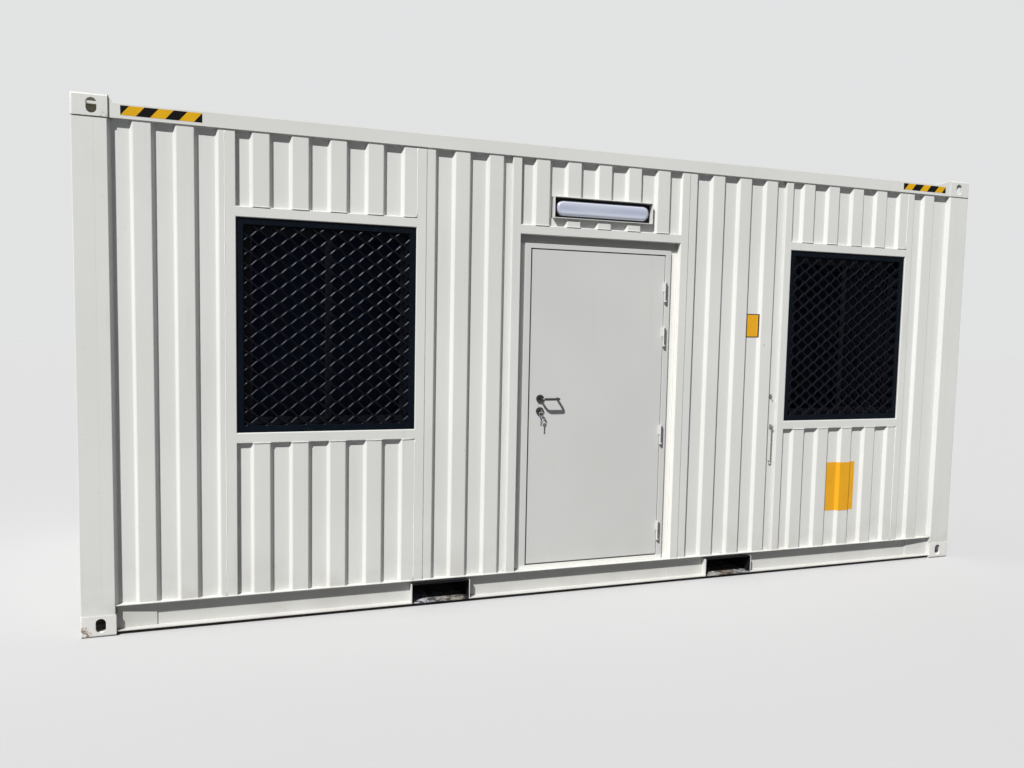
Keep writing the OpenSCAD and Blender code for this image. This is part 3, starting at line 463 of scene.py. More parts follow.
def pocket_paint():
    """Black inside, white on the outer sides at the front, and worn in patches on the straps."""
    finish = Finish("pocket_paint", (0.006, 0.006, 0.008), 0.75)
    wander = finish.math("MULTIPLY_ADD", finish.noise(16, 4), STRAP_WANDER, finish.x)
    strap = finish.below(finish.z, STRAP_TOP)
    for x0, x1, colour in STRAP_PATCHES:
        patch = finish.within(wander, x0 * MM + STRAP_WANDER / 2, x1 * MM + STRAP_WANDER / 2)
        finish.layer(finish.times(strap, patch, 0.9), colour, 0.7)
    chips = finish.ramp(finish.noise(30, 5, shift=(4, 1, 0), roughness=0.7), 0.49, 0.54, 0.0, 0.92)
    finish.layer(finish.times(strap, chips), (0.035, 0.032, 0.03), 0.8)
    outer = finish.above(finish.distance(finish.math("ABSOLUTE", finish.x), POCKET_X), POCKET_HALF)
    low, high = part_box("fork_pockets")
    # The top plates are white behind a front strip left black as painted shade, where the sun reaches under
    # the flange
    top = finish.times(finish.above(finish.z, high.z - 1 * MM),
                       finish.above(finish.y, low.y + POCKET_SHADED_LIP))
    at_front = finish.below(finish.y, front_y(POCKET_WHITE))
    finish.layer(finish.times(finish.math("MAXIMUM", outer, top), at_front), (0.63, 0.63, 0.61), 0.42)
    finish.grain(90, 3, 0.5, 0.4)
    return finish.done(Specular_IOR_Level=0.15)


# From joint to joint of the floor boards
BOARD_LENGTH = 1.22


def floor_board():
    finish = Finish("floor_board", (0.27, 0.17, 0.09), 0.55)
    grain = finish.noise(3.0, 6, (1.5, 26, 26), (0, 2, 0))
    finish.layer(finish.ramp(grain, 0.35, 0.7, 0.0, 0.7), (0.15, 0.085, 0.04))
    finish.layer(finish.patches(1.4, 3, 0.4, 0.7, 0.35), (0.33, 0.25, 0.17), 0.65)
    seam = finish.math("FRACT", finish.math("DIVIDE", finish.x, BOARD_LENGTH))
    finish.layer(finish.ramp(seam, 0.004, 0.0), (0.03, 0.02, 0.015))
    finish.bump(grain, 0.5 * MM, 0.3)
    return finish.done()


def dark_aluminium():
    finish = Finish("dark_aluminium", (0.0035, 0.004, 0.007), 0.42)
    finish.layer(finish.patches(3, 3, 0.4, 0.7, 0.4), (0.006, 0.007, 0.010), 0.5)
    finish.grain(500, 2, 0.1, 0.3)
    return finish.done(Specular_IOR_Level=0.06)


def black_steel():
    finish = Finish("black_steel", (0.0014, 0.0035, 0.0074), 0.42)
    finish.layer(finish.patches(2.1, 4, 0.45, 0.75, 0.5), (0.0042, 0.0063, 0.0102), 0.5)
    dusty = finish.times(finish.patches(40, 3, 0.55, 0.75), 0.3)
    finish.layer(dusty, (0.017, 0.018, 0.019), 0.6)
    finish.grain(220, 3, 0.25, 0.3)
    return finish.done(Specular_IOR_Level=0.06)


def strand_steel():
    """The glossier black of the mesh, which the sun picks out."""
    finish = Finish("strand_steel", (0.003, 0.0035, 0.006), 0.38)
    finish.layer(finish.patches(6, 4, 0.42, 0.7, 0.6), (0.005, 0.005, 0.008), 0.46)
    finish.layer(finish.patches(75, 4, 0.60, 0.72, 0.4), (0.010, 0.012, 0.015), 0.6)
    finish.grain(260, 3, 0.2, 0.35)
    return finish.done(Specular_IOR_Level=0.095, Specular_Tint=(0.80, 0.88, 1.0, 1.0))


# Hinge axis, along and behind the front, the tops of the barrels, the part of each that is painted dark, as
# measured down from its top, its radius, and where the dark begins beside the axis, in mm
HINGE_AXIS = (3502.5, 26)
HINGE_TOPS = (432, 1090, 1750, 2047)
BARREL_DARK = (7, 118)
BARREL_RADIUS = 10.4
BARREL_FROM = -5


def hinge_steel():
    """Painted plates and barrels; the barrels are painted dark as bare steel, only on the side away from the
    door and the sun, as painted shade.
    """
    finish = Finish("hinge_steel", (0.555, 0.555, 0.545), 0.36)
    finish.layer(finish.patches(24, 4, 0.5, 0.75, 0.4), (0.44, 0.43, 0.41), 0.5)
    aside = finish.math("SUBTRACT", finish.x, front_x(HINGE_AXIS[0]))
    behind = finish.math("SUBTRACT", finish.y, front_y(HINGE_AXIS[1]))
    apart = finish.math("SQRT", finish.math("MULTIPLY_ADD", aside, aside, finish.math("POWER", behind, 2.0)))
    # Painted shade: the barrels are dark only on the side away from the door and the sun
    barrel = finish.times(finish.below(apart, BARREL_RADIUS * MM), finish.above(aside, BARREL_FROM * MM))
    for top in HINGE_TOPS:
        painted_dark_shade = finish.within(finish.z, (top - BARREL_DARK[1]) * MM, (top - BARREL_DARK[0]) * MM)
        finish.layer(finish.times(barrel, painted_dark_shade), (0.115, 0.115, 0.118), 0.24)
    worn = finish.ramp(finish.noise(90, 4, (1, 1, 0.4)), 0.60, 0.68, 0.0, 0.6)
    finish.layer(worn, (0.17, 0.165, 0.155), 0.42)
    finish.grain(200, 3, 0.2, 0.3)
    return finish.done()


def lever_metal():
    # The dark base colour is painted reflection, standing in for dark surroundings mirrored in the steel
    finish = Finish("lever_metal", (0.085, 0.083, 0.080), 0.30, metallic=1.0)
    brushed = finish.noise(40, 3, (0.2, 8, 8))
    finish.layer(finish.ramp(brushed, 0.4, 0.65, 0.0, 0.6), (0.055, 0.054, 0.052), 0.36)
    finish.layer(finish.patches(60, 4, 0.62, 0.72, 0.5), (0.16, 0.155, 0.15), 0.5)
    finish.bump(brushed, 0.08 * MM, 0.4)
    return finish.done()


def key_metal():
    finish = Finish("key_metal", (0.62, 0.61, 0.60), 0.30, metallic=1.0)
    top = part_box("door_key")[1].z
    finish.layer(finish.ramp(finish.z, top - 35 * MM, top - 45 * MM), (0.13, 0.13, 0.19), 0.45)
    finish.layer(finish.patches(150, 4, 0.5, 0.7, 0.5), (0.20, 0.19, 0.18), 0.5)
    finish.grain(400, 3, 0.15, 0.5)
    return finish.done()


def lamp_cover():
    """Opal plastic, darker in a band along the middle."""
    finish = Finish("lamp_cover", (0.505, 0.54, 0.65), 0.22)
    low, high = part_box("lamp_cover")
    off_middle = finish.distance(finish.z, (low.z + high.z) / 2)
    finish.layer(finish.ramp(off_middle, 30 * MM, 4 * MM, 0.0, 0.75), (0.34, 0.375, 0.495), 0.26)
    finish.layer(finish.ramp(finish.noise(3, 2, (1, 1, 4)), 0.4, 0.7, 0.0, 0.25), (0.57, 0.60, 0.68))
    finish.layer(finish.patches(70, 3, 0.62, 0.75, 0.3), (0.42, 0.42, 0.44), 0.5)
    finish.grain(9, 2, 0.5, 0.3)
    return finish.done(Coat_Weight=0.5, Coat_Roughness=0.12)


def glass():
    """Dark tinted glass."""
    finish = Finish("glass", (0.056, 0.078, 0.165), 0.03)
    finish.layer(finish.patches(2.6, 4, 0.5, 0.8, 0.25), (0.09, 0.10, 0.12), 0.16)
    return finish.done(Transmission_Weight=1.0, IOR=1.14, Specular_Tint=(0.43, 0.51, 0.95, 1.0))


def lining():
    """Pale panels with a joint every metre."""
    finish = Finish("lining", (0.74, 0.73, 0.69), 0.5)
    finish.layer(finish.patches(1.2, 3, 0.4, 0.7, 0.35), (0.68, 0.67, 0.63), 0.55)
    joint = finish.math("FRACT", finish.math("ADD", finish.x, finish.y))
    finish.layer(finish.ramp(joint, 0.006, 0.002, 0.0, 0.7), (0.33, 0.32, 0.30))
    finish.grain(180, 3, 0.2, 0.3)
    return finish.done()


def lamp_black():
    finish = Finish("lamp_base", (0.008, 0.008, 0.009), 0.5)
    finish.layer(finish.patches(20, 3, 0.45, 0.7, 0.6), (0.020, 0.020, 0.022), 0.6)
    finish.grain(300, 2, 0.15, 0.4)
    return finish.done(Specular_IOR_Level=0.15)


def sticker_yellow(name, low, high, line):
    """Yellow film between two corners; line is the width of a black line round its edge, or 0."""
    finish = Finish(name, (0.70, 0.345, 0.016), 0.42)
    finish.layer(finish.patches(9, 4, 0.4, 0.7, 0.5), (0.62, 0.30, 0.016), 0.5)
    finish.layer(finish.patches(70, 4, 0.64, 0.74, 0.4), (0.39, 0.24, 0.055))
    if line:
        middle, half = (low + high) / 2, (high - low) / 2
        beside = finish.math("SUBTRACT", half.x, finish.distance(finish.x, middle.x))
        over = finish.math("SUBTRACT", half.z, finish.distance(finish.z, middle.z))
        nearest = finish.math("MINIMUM", beside, over)
        finish.layer(finish.ramp(nearest, line + 0.5 * MM, line - 0.5 * MM), (0.022, 0.020, 0.018), 0.5)
    finish.grain(120, 2, 0.15, 0.3)
    return finish.done(Specular_IOR_Level=0.2)


def hazard_film(name, start, base, yellow):
    """Leaning black and yellow stripes; a yellow one starts at start, on the height base."""
    finish = Finish(name, (0.67, 0.37, 0.012), 0.40)
    finish.layer(finish.patches(12, 4, 0.4, 0.7, 0.45), (0.58, 0.31, 0.012), 0.5)
    lean = finish.math("MULTIPLY", finish.math("SUBTRACT", finish.z, base), STRIPE_SLANT)
    along = finish.math("SUBTRACT", finish.math("SUBTRACT", finish.x, start), lean)
    share = finish.math("FRACT", finish.math("ADD", finish.math("DIVIDE", along, STRIPE_PITCH), 4.0))
    finish.layer(finish.above(share, yellow), (0.003, 0.003, 0.003), 0.45)
    scratched = finish.noise(50, 5, roughness=0.7)
    finish.layer(finish.ramp(scratched, 0.67, 0.73, 0.0, 0.5), (0.45, 0.43, 0.38), 0.6)
    finish.grain(140, 2, 0.12, 0.3)
    return finish.done(Specular_IOR_Level=0.08)


# Each look by name; the slots of the CAD nodes have these names too
LOOKS = {make.__name__: make() for make in (
    white_paint, door_paint, underbody_paint, pocket_paint, floor_board, dark_aluminium, glass,
    black_steel, strand_steel, hinge_steel, lever_metal, key_metal, lamp_cover, lining)}


def dress_cad():
    """Gives every CAD node the look of its slot."""
    for node in nodes.values():
        for slot in node.material_slots:
            slot.material = LOOKS[slot.material.name]


WELD_WITHIN = 0.01 * MM
SMOOTH_BELOW = math.radians(30)


def soften_group():
    """Geometry nodes that weld a CAD mesh and shade it smooth below an angle."""
    group = bpy.data.node_groups.new("weld_and_shade", "GeometryNodeTree")
    group.interface.new_socket("Geometry", in_out="INPUT", socket_type="NodeSocketGeometry")
    group.interface.new_socket("Geometry", in_out="OUTPUT", socket_type="NodeSocketGeometry")
    chain = [group.nodes.new(kind) for kind in (
        "NodeGroupInput", "GeometryNodeRemoveAttribute", "GeometryNodeMergeByDistance",
        "GeometryNodeSetShadeSmooth", "GeometryNodeSetShadeSmooth", "NodeGroupOutput")]
    for before, after in zip(chain, chain[1:]):
        group.links.new(before.outputs[0], after.inputs[0])
    chain[1].inputs["Name"].default_value = "custom_normal"
    chain[2].inputs["Distance"].default_value = WELD_WITHIN
    edges = chain[4]
    edges.domain = "EDGE"
    angle = group.nodes.new("GeometryNodeInputMeshEdgeAngle")
    below = group.nodes.new("FunctionNodeCompare")
    below.operation = "LESS_THAN"
    below.inputs[1].default_value = SMOOTH_BELOW
    group.links.new(angle.outputs[0], below.inputs[0])
    group.links.new(below.outputs[0], edges.inputs["Shade Smooth"])
    return group


SOFTEN = soften_group()
# Nodes whose sharp edges are rounded, and how wide in mm
SOFTENED = {
    "castings_bottom_front": 4.0, "castings_bottom_back": 4.0, "castings_top_front": 4.0,
    "castings_top_back": 4.0, "corner_posts_front": 6.0, "corner_posts_back": 6.0,
    "top_rail_front": 2.0, "top_rail_back": 2.0, "bottom_rail_front": 1.2, "bottom_rail_back": 1.2,
    "door_leaf": 1.2, "door_frame": 1.0, "lamp_housing": 0.8, "frame_hinges": 0.8,
    "leaf_hinges": 0.8, "door_roses": 1.0}


def soften(piece, width):
    """Welds a mesh, rounds its sharp edges and evens out its shading."""
    piece.modifiers.new("weld_and_shade", "NODES").node_group = SOFTEN
    if width:
        bevel = piece.modifiers.new("rounded_edges", "BEVEL")
        bevel.width = width
        bevel.segments = 2
        bevel.limit_method = "ANGLE"
        bevel.angle_limit = math.radians(40)
        bevel.use_clamp_overlap = True
    normals = piece.modifiers.new("even_shading", "WEIGHTED_NORMAL")
    normals.keep_sharp = True


def mesh_object(name, mesh, look):
    data = bpy.data.meshes.new(name)
    mesh.to_mesh(data)
    mesh.free()
    data.materials.append(look)
    made = bpy.data.objects.new(name, data)
    bpy.context.scene.collection.objects.link(made)
    return made


def new_piece(name, mesh, look):
    """Makes an object of a bmesh, which rides on the cabin."""
    piece = mesh_object(name, mesh, look)
    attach(piece, "cabin")
    return piece


def bridge(mesh, rings, smooth=False):
    """Joins each ring of corners to the next one."""
    for a, b in zip(rings, rings[1:]):
        for i in range(len(a)):
            j = (i + 1) % len(a)
            mesh.faces.new([a[i], a[j], b[j], b[i]]).smooth = smooth


def close_ends(mesh, rings):
    mesh.faces.new(list(reversed(rings[0])))
    mesh.faces.new(rings[-1])


def rounded_line(corners, radius, steps):
    """The line through the corners, with each bend turned into a small curve."""
    line = [corners[0]]
    for before, here, after in zip(corners, corners[1:], corners[2:]):
        back, on = (before - here), (after - here)
        turn = math.pi - back.angle(on)
        reach = min(radius * math.tan(turn / 2), back.length * 0.45, on.length * 0.45)
        start, end = here + back.normalized() * reach, here + on.normalized() * reach
        if turn < 0.02:
            line.append(here)
            continue
        for k in range(steps + 1):
            t = k / steps
            line.append(start * (1 - t) ** 2 + here * (2 * t * (1 - t)) + end * t ** 2)
    line.append(corners[-1])
    return line


class Wall:
    """The outer face of a corrugated CAD wall: its line seen from above, and where it has sheet."""

    def __init__(self, node, out):
        self.out = out
        self.along = UP.cross(out)
        mesh = nodes[node].data
        self.patches = []
        for face in mesh.polygons:
            points = [mesh.vertices[i].co for i in face.vertices]
            if face.normal.dot(out) > 0.3 and points[0].dot(out) > 0:
                self.patches.append([(p.dot(self.along), p.z, p.dot(out)) for p in points])
        corners = {}
        for patch in self.patches:
            for u, z, v in patch:
                corners[round(u, 5)] = v
        self.corners = self.straightened([Vector(p) for p in sorted(corners.items())])
        self.line = rounded_line(self.corners, BEND_RADIUS, BEND_STEPS)
        self.edges_u = sorted(corners)
        self.edges_z = sorted({round(z, 5) for patch in self.patches for u, z, v in patch})

    @staticmethod
    def straightened(corners):
        """Leaves out the points that lie on the straight line between their neighbours."""
        kept = [corners[0]]
        for here, after in zip(corners[1:], corners[2:]):
            if (here - kept[-1]).angle(after - here) > 0.02:
                kept.append(here)
        return kept + [corners[-1]]

    def has_sheet(self, u, z):
        """Whether the CAD face covers that place."""
        here = Vector((u, z))
        for patch in self.patches:
            a, b, c = (Vector(p[:2]) for p in patch[:3])
            sides = [(q - p).cross(here - p) for p, q in ((a, b), (b, c), (c, a))]
            if min(sides) >= 0 or max(sides) <= 0:
                return True
        return False

    def depth(self, u):
        """How far out the face line lies at u."""
        for p, q in zip(self.line, self.line[1:]):
            if p.x <= u <= q.x:
                return p.y + (q.y - p.y) * (u - p.x) / max(q.x - p.x, 1e-9)
        return self.line[0].y if u < self.line[0].x else self.line[-1].y

    def point(self, u, v, z):
        return self.along * u + self.out * v + UP * z

    def stations(self, low, high):
        """Places along the wall where its face line bends or its sheet ends."""
        bends = [p.x for p in self.line]
        ends = [u for u in self.edges_u if min(abs(u - b) for b in bends) > BEND_RADIUS]
        return sorted({round(u, 6) for u in bends + ends + [low, high] if low <= u <= high})

    def rows(self, low, high):
        """Heights of the sheet's rows: the CAD's own, with equal steps between them."""
        marks = sorted({low, high, *(z for z in self.edges_z if low < z < high)})
        made = []
        for a, b in zip(marks, marks[1:]):
            steps = max(1, round((b - a) / SHEET_ROW))
            made += [a + (b - a) * k / steps for k in range(steps)]
        return made + [high]


# Knocks in the front wall: mm along and up, reach and depth
KNOCKS = ((4300, 1690, 75, 3.0), (4292, 1560, 55, 2.2), (4335, 1640, 45, -1.6), (720, 1380, 90, 1.6),
          (5640, 900, 80, 1.8))


def dent(point):
    """Unevenness of thin sheet: slight all over, and knocks at some places on the front."""
    broad = noise.noise(Vector((point.x * 2.3, point.y * 2.3 + 7, point.z * 1.7)))
    small = noise.noise(Vector((point.x * 9, point.y * 9, point.z * 5 + 3)))
    out = DENT_DEPTH * (broad + 0.35 * small)
    if point.y < 0:
        for x, z, reach, depth in KNOCKS:
            apart = math.hypot(point.x - front_x(x), (point.z - z * MM) * 0.7) / (reach * MM)
            if apart < 1:
                out -= depth * MM * (1 - apart ** 2) ** 2
    return out


def wall_surface(mesh, wall):
    """Adds the wall's outer face, with its dents."""
    made = {}

    def corner(u, z):
        if (u, z) not in made:
            point = wall.point(u, wall.depth(u), z)
            made[u, z] = mesh.verts.new(point + wall.out * dent(point))
        return made[u, z]

    stations = wall.stations(wall.line[0].x, wall.line[-1].x)
    rows = wall.rows(wall.edges_z[0], wall.edges_z[-1])
    for u0, u1 in zip(stations, stations[1:]):
        for z0, z1 in zip(rows, rows[1:]):
            if wall.has_sheet((u0 + u1) / 2, (z0 + z1) / 2):
                corners = [corner(u, z) for u, z in ((u0, z0), (u1, z0), (u1, z1), (u0, z1))]
                mesh.faces.new(corners).smooth = True


def thicken(piece, thickness):
    """Gives a surface its thickness inwards, and crisp edges."""
    solid = piece.modifiers.new("thickness", "SOLIDIFY")
    solid.thickness = thickness
    solid.offset = -1
    split = piece.modifiers.new("crisp_edges", "EDGE_SPLIT")
    split.split_angle = math.radians(35)
    piece.modifiers.new("even_shading", "WEIGHTED_NORMAL")


FRONT_WALLS = ("left", "window_left", "mid_left", "over_door", "mid_right", "window_right", "right")
walls = {"front_wall_" + part: [Wall("front_wall_" + part, FRONT)] for part in FRONT_WALLS}
walls["back_wall"] = [Wall("back_wall", BACK)]
walls["end_walls"] = [Wall("end_walls", LEFT), Wall("end_walls", RIGHT)]


def wall_sheets():
    """Pressed sheets with round bends in place of the plain CAD ones."""
    for name, faces in walls.items():
        mesh = bmesh.new()
        for wall in faces:
            wall_surface(mesh, wall)
        sheet = new_piece(name.replace("wall", "sheet"), mesh, LOOKS["white_paint"])
        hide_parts(name)
        thicken(sheet, SHEET_T)


def tube_along(mesh, path, radius, sides, seed):
    """A round bead along a path, of slightly uneven thickness, with closed ends."""
    rng = random.Random(seed)
    rings = []
    for k, here in enumerate(path):
        ahead = (path[min(k + 1, len(path) - 1)] - path[max(k - 1, 0)]).normalized()
        side = ahead.cross(UP if abs(ahead.z) < 0.9 else FRONT).normalized()
        over = ahead.cross(side)
        r = radius * rng.uniform(0.75, 1.15)
        rings.append([mesh.verts.new(here + (side * math.cos(a) + over * math.sin(a)) * r)
                      for a in (2 * math.pi * i / sides for i in range(sides))])
    bridge(mesh, rings, smooth=True)
    close_ends(mesh, rings)


def spread(a, b, step):
    """Numbers from a to b in equal steps of about that size."""
    count = max(1, round((b - a) / step))
    return [a + (b - a) * k / count for k in range(count + 1)]


def joint_filler(name, colour):
    """Filler in the upright joints beside the sheets; its given colour is painted shade on the left joints
    and painted light on the right ones.
    """
    finish = Finish(name, colour, 0.5)
    weathered(finish, 0.3)
    finish.grain(120, 3, 0.3, 0.4)
    return finish.done(Specular_IOR_Level=0.4)


def weld_beads():
    """Welds over and under each sheet, and filled joints at its sides, grey on the left as painted shade and
    white on the right as painted light.
    """
    mesh = bmesh.new()
    left, right = bmesh.new(), bmesh.new()
    seed = 0
    for faces in walls.values():
        for wall in faces:
            first, last = wall.line[0].x, wall.line[-1].x
            heights = [wall.edges_z[0], wall.edges_z[-1]]
            # Where an opening is as wide as the wall, the sheet ends over and under it too
            if len(wall.edges_z) == 4 and not wall.has_sheet(first + 10 * MM, sum(wall.edges_z[1:3]) / 2):
                heights = wall.edges_z
            for z in heights:
                seed += 1
                path = [wall.point(u, wall.depth(u) + 1 * MM, z) for u in
                        sorted(set(wall.stations(first, last)) | set(spread(first, last, BEAD_STEP)))]
                tube_along(mesh, path, BEAD_RADIUS, 6, seed)
            for joints, u in ((left, first - JOINT_SHIFT), (right, last + JOINT_SHIFT)):
                for z0, z1 in zip(heights[::2], heights[1::2]):
                    seed += 1
                    path = [wall.point(u, wall.depth(u) - JOINT_SUNK, z)
                            for z in spread(z0, z1, JOINT_STEP)]
                    tube_along(joints, path, JOINT_RADIUS, 8, seed)
    new_piece("wall_welds", mesh, LOOKS["white_paint"])
    # Painted shade on the joints at the left of each sheet, painted light on those at the right
    new_piece("joints_left_painted_shade", left, joint_filler("joints_left_painted_shade", (0.33, 0.33, 0.32)))
    new_piece("joints_right_painted_light", right, joint_filler("joints_right_painted_light", (0.80, 0.80, 0.77)))


# Plain yellow films on the front: their wall, left and right edge, lower and upper edge, and the
# width of the black line round the edge, in mm
WALL_FILMS = {"yellow_film_small": ("front_wall_mid_right", 4150, 4248, 1692, 1855, 6),
              "yellow_film_large": ("front_wall_window_right", 4878, 5143, 424, 784, 0)}
# Their front over the sheet, their thickness, and the steps down them
WALL_FILM_OUT = 1.1 * MM
WALL_FILM_T = 0.8 * MM
WALL_FILM_STEP = 40 * MM


def wall_films():
    """Films stuck on the corrugated walls, following their lines."""
    for name, (node, x0, x1, z0, z1, line) in WALL_FILMS.items():
        wall = walls[node][0]
        low = Vector((front_x(x0), 0, z0 * MM))
        high = Vector((front_x(x1), 0, z1 * MM))
        mesh = bmesh.new()
        columns = [[mesh.verts.new(wall.point(u, wall.depth(u) + WALL_FILM_OUT, z) +
                                   wall.out * dent(wall.point(u, wall.depth(u), z)))
                    for z in spread(low.z, high.z, WALL_FILM_STEP)] for u in wall.stations(low.x, high.x)]
        for a, b in zip(columns, columns[1:]):
            for k in range(len(a) - 1):
                mesh.faces.new([a[k], b[k], b[k + 1], a[k + 1]]).smooth = True
        look = sticker_yellow(name, low, high, line * MM)
        thicken(new_piece(name, mesh, look), WALL_FILM_T)


# Hazard stripes on the top rail: left and right edge, lower and upper edge, first yellow edge,
# in mm, and the share of yellow
HAZARDS = {"hazard_left": (237, 637, 2797, 2847, 237, 0.52),
           "hazard_right": (5437, 5834, 2799, 2845, 5446, 0.47)}
STRIPE_PITCH = 142 * MM
STRIPE_SLANT = 0.85
RAIL_FILM_T = 0.6 * MM
RAIL_FILM_CORNER = 2 * MM


def rounded_plate(mesh, x0, x1, z0, z1, y, thickness, radius):
    """A thin upright plate with round corners, facing the front at y."""
    outline = []
    for cx, cz, start in ((x1 - radius, z1 - radius, 0), (x0 + radius, z1 - radius, 90),
                          (x0 + radius, z0 + radius, 180), (x1 - radius, z0 + radius, 270)):
        for k in range(4):
            a = math.radians(start + 30 * k)
            outline.append(Vector((cx + radius * math.cos(a), y, cz + radius * math.sin(a))))
    face = mesh.faces.new([mesh.verts.new(p) for p in outline])
    made = bmesh.ops.extrude_face_region(mesh, geom=[face])
    moved = [g for g in made["geom"] if isinstance(g, bmesh.types.BMVert)]
    bmesh.ops.translate(mesh, verts=moved, vec=(0, thickness, 0))
    bmesh.ops.recalc_face_normals(mesh, faces=mesh.faces)


def hazard_films():
    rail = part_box("top_rail_front")[0].y
    for name, (x0, x1, z0, z1, start, yellow) in HAZARDS.items():
        mesh = bmesh.new()
        rounded_plate(mesh, front_x(x0), front_x(x1), z0 * MM, z1 * MM, rail - RAIL_FILM_T,
                      RAIL_FILM_T, RAIL_FILM_CORNER)
        look = hazard_film(name, front_x(start), z0 * MM, yellow)
        new_piece(name, mesh, look)


# Diamond mesh of the grilles: flattened strands, turned so that they face up and out
CELL_W = 108.5 * MM
CELL_H = 81 * MM
STRAND_W = 10 * MM
STRAND_T = 2.6 * MM
STRAND_TILT = math.radians(32)
KNOT_HALF = 7 * MM
# Places of a strand's rings, as shares of its length
STRAND_RINGS = (0.0, 0.10, 0.22, 0.5, 0.78, 0.90, 1.0)
FRAME_W = 38 * MM
# First knot of each mesh, from the lower left corner of its frame
FIRST_KNOT = {"grille_left": (12 * MM, 8 * MM), "grille_right": (28 * MM, 15 * MM)}


def clipped(a, b, low, high):
    """The part of a line in X and Z that lies within a rectangle, or None."""
    start, end = 0.0, 1.0
    for axis in (0, 1):
        step = b[axis] - a[axis]
        for bound, sign in ((low[axis], 1), (high[axis], -1)):
            room = sign * (a[axis] - bound)
            pace = sign * step
            if abs(pace) < 1e-9:
                if room < 0:
                    return None
            elif pace > 0:
                start = max(start, -room / pace)
            else:
                end = min(end, -room / pace)
    return (start, end) if end - start > 0.02 else None


def add_strand(mesh, a, b, y, part):
    """A flattened bar from knot to knot, turned about its length, and flat at the knots."""
    run = Vector((b[0] - a[0], 0, b[1] - a[1]))
    across = run.normalized().cross(FRONT)
    if across.z < 0:
        across = -across
    rings = []
    for t in STRAND_RINGS:
        place = part[0] + (part[1] - part[0]) * t
        swell = min(1.0, 4.5 * min(place, 1 - place))
        tilt = STRAND_TILT * swell
        flat = across * math.cos(tilt) + FRONT * -math.sin(tilt)
        face = FRONT * math.cos(tilt) + across * math.sin(tilt)
        half_w = STRAND_W / 2 * (1.0 - 0.12 * swell)
        centre = Vector((a[0], y, a[1])) + run * place
        rings.append([mesh.verts.new(centre + flat * half_w * s + face * STRAND_T / 2 * f)
                      for s, f in ((1, 0.5), (0.8, 1), (-0.8, 1), (-1, 0.5), (-1, -0.5), (1, -0.5))])
    bridge(mesh, rings)
    close_ends(mesh, rings)


def add_knot(mesh, x, z, y):
    """A flat pad where strands meet."""
    outline = [(math.cos(a) * KNOT_HALF * 1.25, math.sin(a) * STRAND_W * 0.62)
               for a in (math.radians(22.5 + 45 * k) for k in range(8))]
    rings = [[mesh.verts.new((x + u, place, z + v)) for u, v in outline]
             for place in (y + STRAND_T * 0.62, y - STRAND_T * 0.62)]
    bridge(mesh, rings)
    close_ends(mesh, rings)


def add_frame(mesh, low, high, width, chamfer):
    """A rectangular frame of flat bar, mitred at its corners, with chamfered front edges."""
    y0, y1 = low.y, high.y
    loops = []
    for inset, y in ((0, y1), (0, y0 + chamfer), (chamfer, y0), (width - chamfer, y0),
                     (width, y0 + chamfer), (width, y1)):
        loops.append([mesh.verts.new((x, y, z)) for x, z in (
            (low.x + inset, low.z + inset), (high.x - inset, low.z + inset),
            (high.x - inset, high.z - inset), (low.x + inset, high.z - inset))])
    bridge(mesh, loops + loops[:1])


def diamond_grille(name):
    low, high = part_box(name)
    y = (low.y + high.y) / 2
    mesh = bmesh.new()
    add_frame(mesh, low, high, FRAME_W, 1.5 * MM)
    frame_bar = new_piece(name.replace("grille", "grille_frame"), mesh, LOOKS["black_steel"])
    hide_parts(name)
    mesh = bmesh.new()
    inner_low = (low.x + FRAME_W - 1 * MM, low.z + FRAME_W - 1 * MM)
    inner_high = (high.x - FRAME_W + 1 * MM, high.z - FRAME_W + 1 * MM)
    first = FIRST_KNOT[name]
    columns = round((high.x - low.x) / (CELL_W / 2)) + 2
    rows = round((high.z - low.z) / (CELL_H / 2)) + 2
    for i in range(-1, columns):
        for j in range(-1, rows):
            if (i + j) % 2:
                continue
            x = low.x + first[0] + i * CELL_W / 2
            z = low.z + first[1] + j * CELL_H / 2
            if inner_low[0] < x < inner_high[0] and inner_low[1] < z < inner_high[1]:
                add_knot(mesh, x, z, y)
            for side in (-1, 1):
                a = (x + side * KNOT_HALF, z + 1 * MM)
                b = (x + side * (CELL_W / 2 - KNOT_HALF), z + CELL_H / 2 - 1 * MM)
                part = clipped(a, b, inner_low, inner_high)
                if part:
                    add_strand(mesh, a, b, y, part)
    bmesh.ops.recalc_face_normals(mesh, faces=mesh.faces)
    new_piece(name.replace("grille", "diamond_mesh"), mesh, LOOKS["strand_steel"])


# Plate of the lamp's steel box, its black base with round corners, and the rim round the cover
LAMP_PLATE = 4 * MM
BASE_T = 2 * MM
BASE_CORNER = 3 * MM
GASKET_OUT = 10 * MM
GASKET_DEEP = 22 * MM
GASKET_STEPS = 16


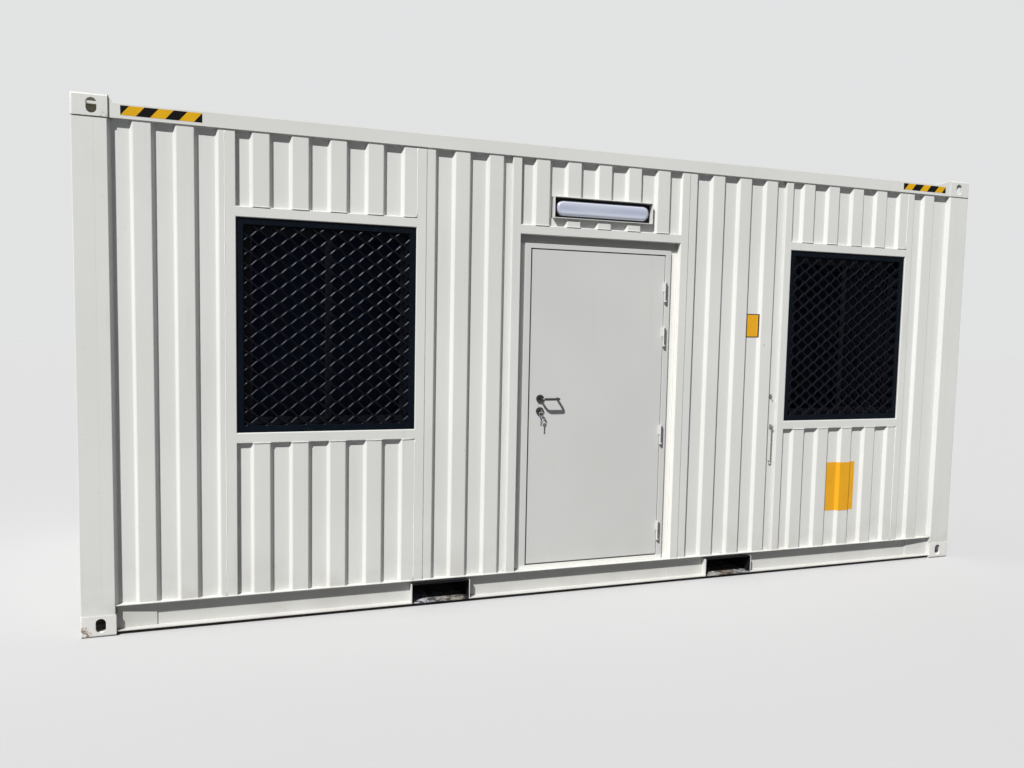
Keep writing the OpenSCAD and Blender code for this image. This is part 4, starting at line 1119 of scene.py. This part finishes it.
def lamp_base():
    """Black base of the lamp in its steel box: a plate with a raised rim round the cover."""
    box_low, box_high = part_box("lamp_housing")
    low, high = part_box("lamp_cover")
    mesh = bmesh.new()
    rounded_plate(mesh, box_low.x + LAMP_PLATE, box_high.x - LAMP_PLATE, box_low.z + LAMP_PLATE,
                  box_high.z - LAMP_PLATE, box_high.y - LAMP_PLATE - BASE_T, BASE_T, BASE_CORNER)
    half = (high.z - low.z) / 2
    middle = (low.z + high.z) / 2
    paths = []
    for inset in (-GASKET_OUT, 0.5 * MM):
        r = half - inset
        loop = []
        for cx, start in ((high.x - half, -90), (low.x + half, 90)):
            for k in range(GASKET_STEPS + 1):
                a = math.radians(start + 180 * k / GASKET_STEPS)
                loop.append((cx + r * math.cos(a), middle + r * math.sin(a)))
        paths.append(loop)
    y1 = box_high.y - LAMP_PLATE
    y0 = y1 - GASKET_DEEP
    rings = [[mesh.verts.new((x, y, z)) for x, z in path]
             for path, y in ((paths[0], y1), (paths[0], y0 + 2 * MM), (paths[1], y0), (paths[1], y1))]
    bridge(mesh, rings + rings[:1])
    bmesh.ops.recalc_face_normals(mesh, faces=mesh.faces)
    piece = new_piece("lamp_base", mesh, lamp_black())
    soften(piece, 0)


def studio():
    """Pale floor, one soft sun and an even sky."""
    scene = bpy.context.scene
    sun = bpy.data.lights.new("sun", "SUN")
    sun.energy = SUN_STRENGTH
    sun.angle = math.radians(SUN_ANGLE)
    sun.color = SUN_COLOUR
    lamp = bpy.data.objects.new("sun", sun)
    lamp.rotation_mode = "QUATERNION"
    lamp.rotation_quaternion = Vector(SUN_TRAVEL).to_track_quat("-Z", "Y")
    scene.collection.objects.link(lamp)

    world = bpy.data.worlds.new("sky")
    world.use_nodes = True
    scene.world = world
    sky = Shading(world.node_tree)
    sky.fill(sky.tree.nodes["Background"], Color=seen_or_light(sky, SKY_SHOWN, brighter_behind(sky)))

    ground = Finish("floor", FLOOR_SHOWN[:3], 0.9)
    ground.colour = seen_or_light(ground, FLOOR_SHOWN, FLOOR_BOUNCE)
    mesh = bmesh.new()
    bmesh.ops.create_grid(mesh, x_segments=2, y_segments=2, size=FLOOR_SIZE)
    mesh_object("floor", mesh, ground.done(Specular_IOR_Level=0.1))


def seen_or_light(shading, seen, light):
    """One colour for what is looked at, also in glass and gloss, and one for the light it gives."""
    rays = shading.node("ShaderNodeLightPath").outputs
    looked_at = rays["Is Camera Ray"]
    for ray in ("Is Glossy Ray", "Is Transmission Ray"):
        looked_at = shading.math("MAXIMUM", looked_at, rays[ray])
    return shading.mix(looked_at, light, seen)


def brighter_behind(sky):
    """Sky light that is stronger behind the cabin, away from the sun."""
    split = sky.node("ShaderNodeSeparateXYZ")
    sky.feed(split.inputs[0], sky.node("ShaderNodeTexCoord").outputs["Generated"])
    return sky.mix(sky.ramp(split.outputs[1], *SKY_TURN), SKY_LIGHT, SKY_BEHIND)


def camera():
    data = bpy.data.cameras.new("camera")
    data.sensor_width = 36.0
    data.lens = CAMERA_LENS
    data.clip_end = 300.0
    seat = bpy.data.objects.new("camera", data)
    turn = (Matrix.Rotation(-math.radians(CAMERA_HEADING), 4, "Z") @
            Matrix.Rotation(math.radians(90 + CAMERA_TILT), 4, "X") @
            Matrix.Rotation(math.radians(CAMERA_ROLL), 4, "Z"))
    seat.matrix_world = Matrix.Translation(CAMERA_AT) @ turn
    bpy.context.scene.collection.objects.link(seat)
    bpy.context.scene.camera = seat


camera()
studio()
dress_cad()
wall_sheets()
weld_beads()
wall_films()
hazard_films()
diamond_grille("grille_left")
diamond_grille("grille_right")
lamp_base()
for name, width in SOFTENED.items():
    soften(nodes[name], width * MM)

bpy.context.scene.view_settings.view_transform = "Standard"
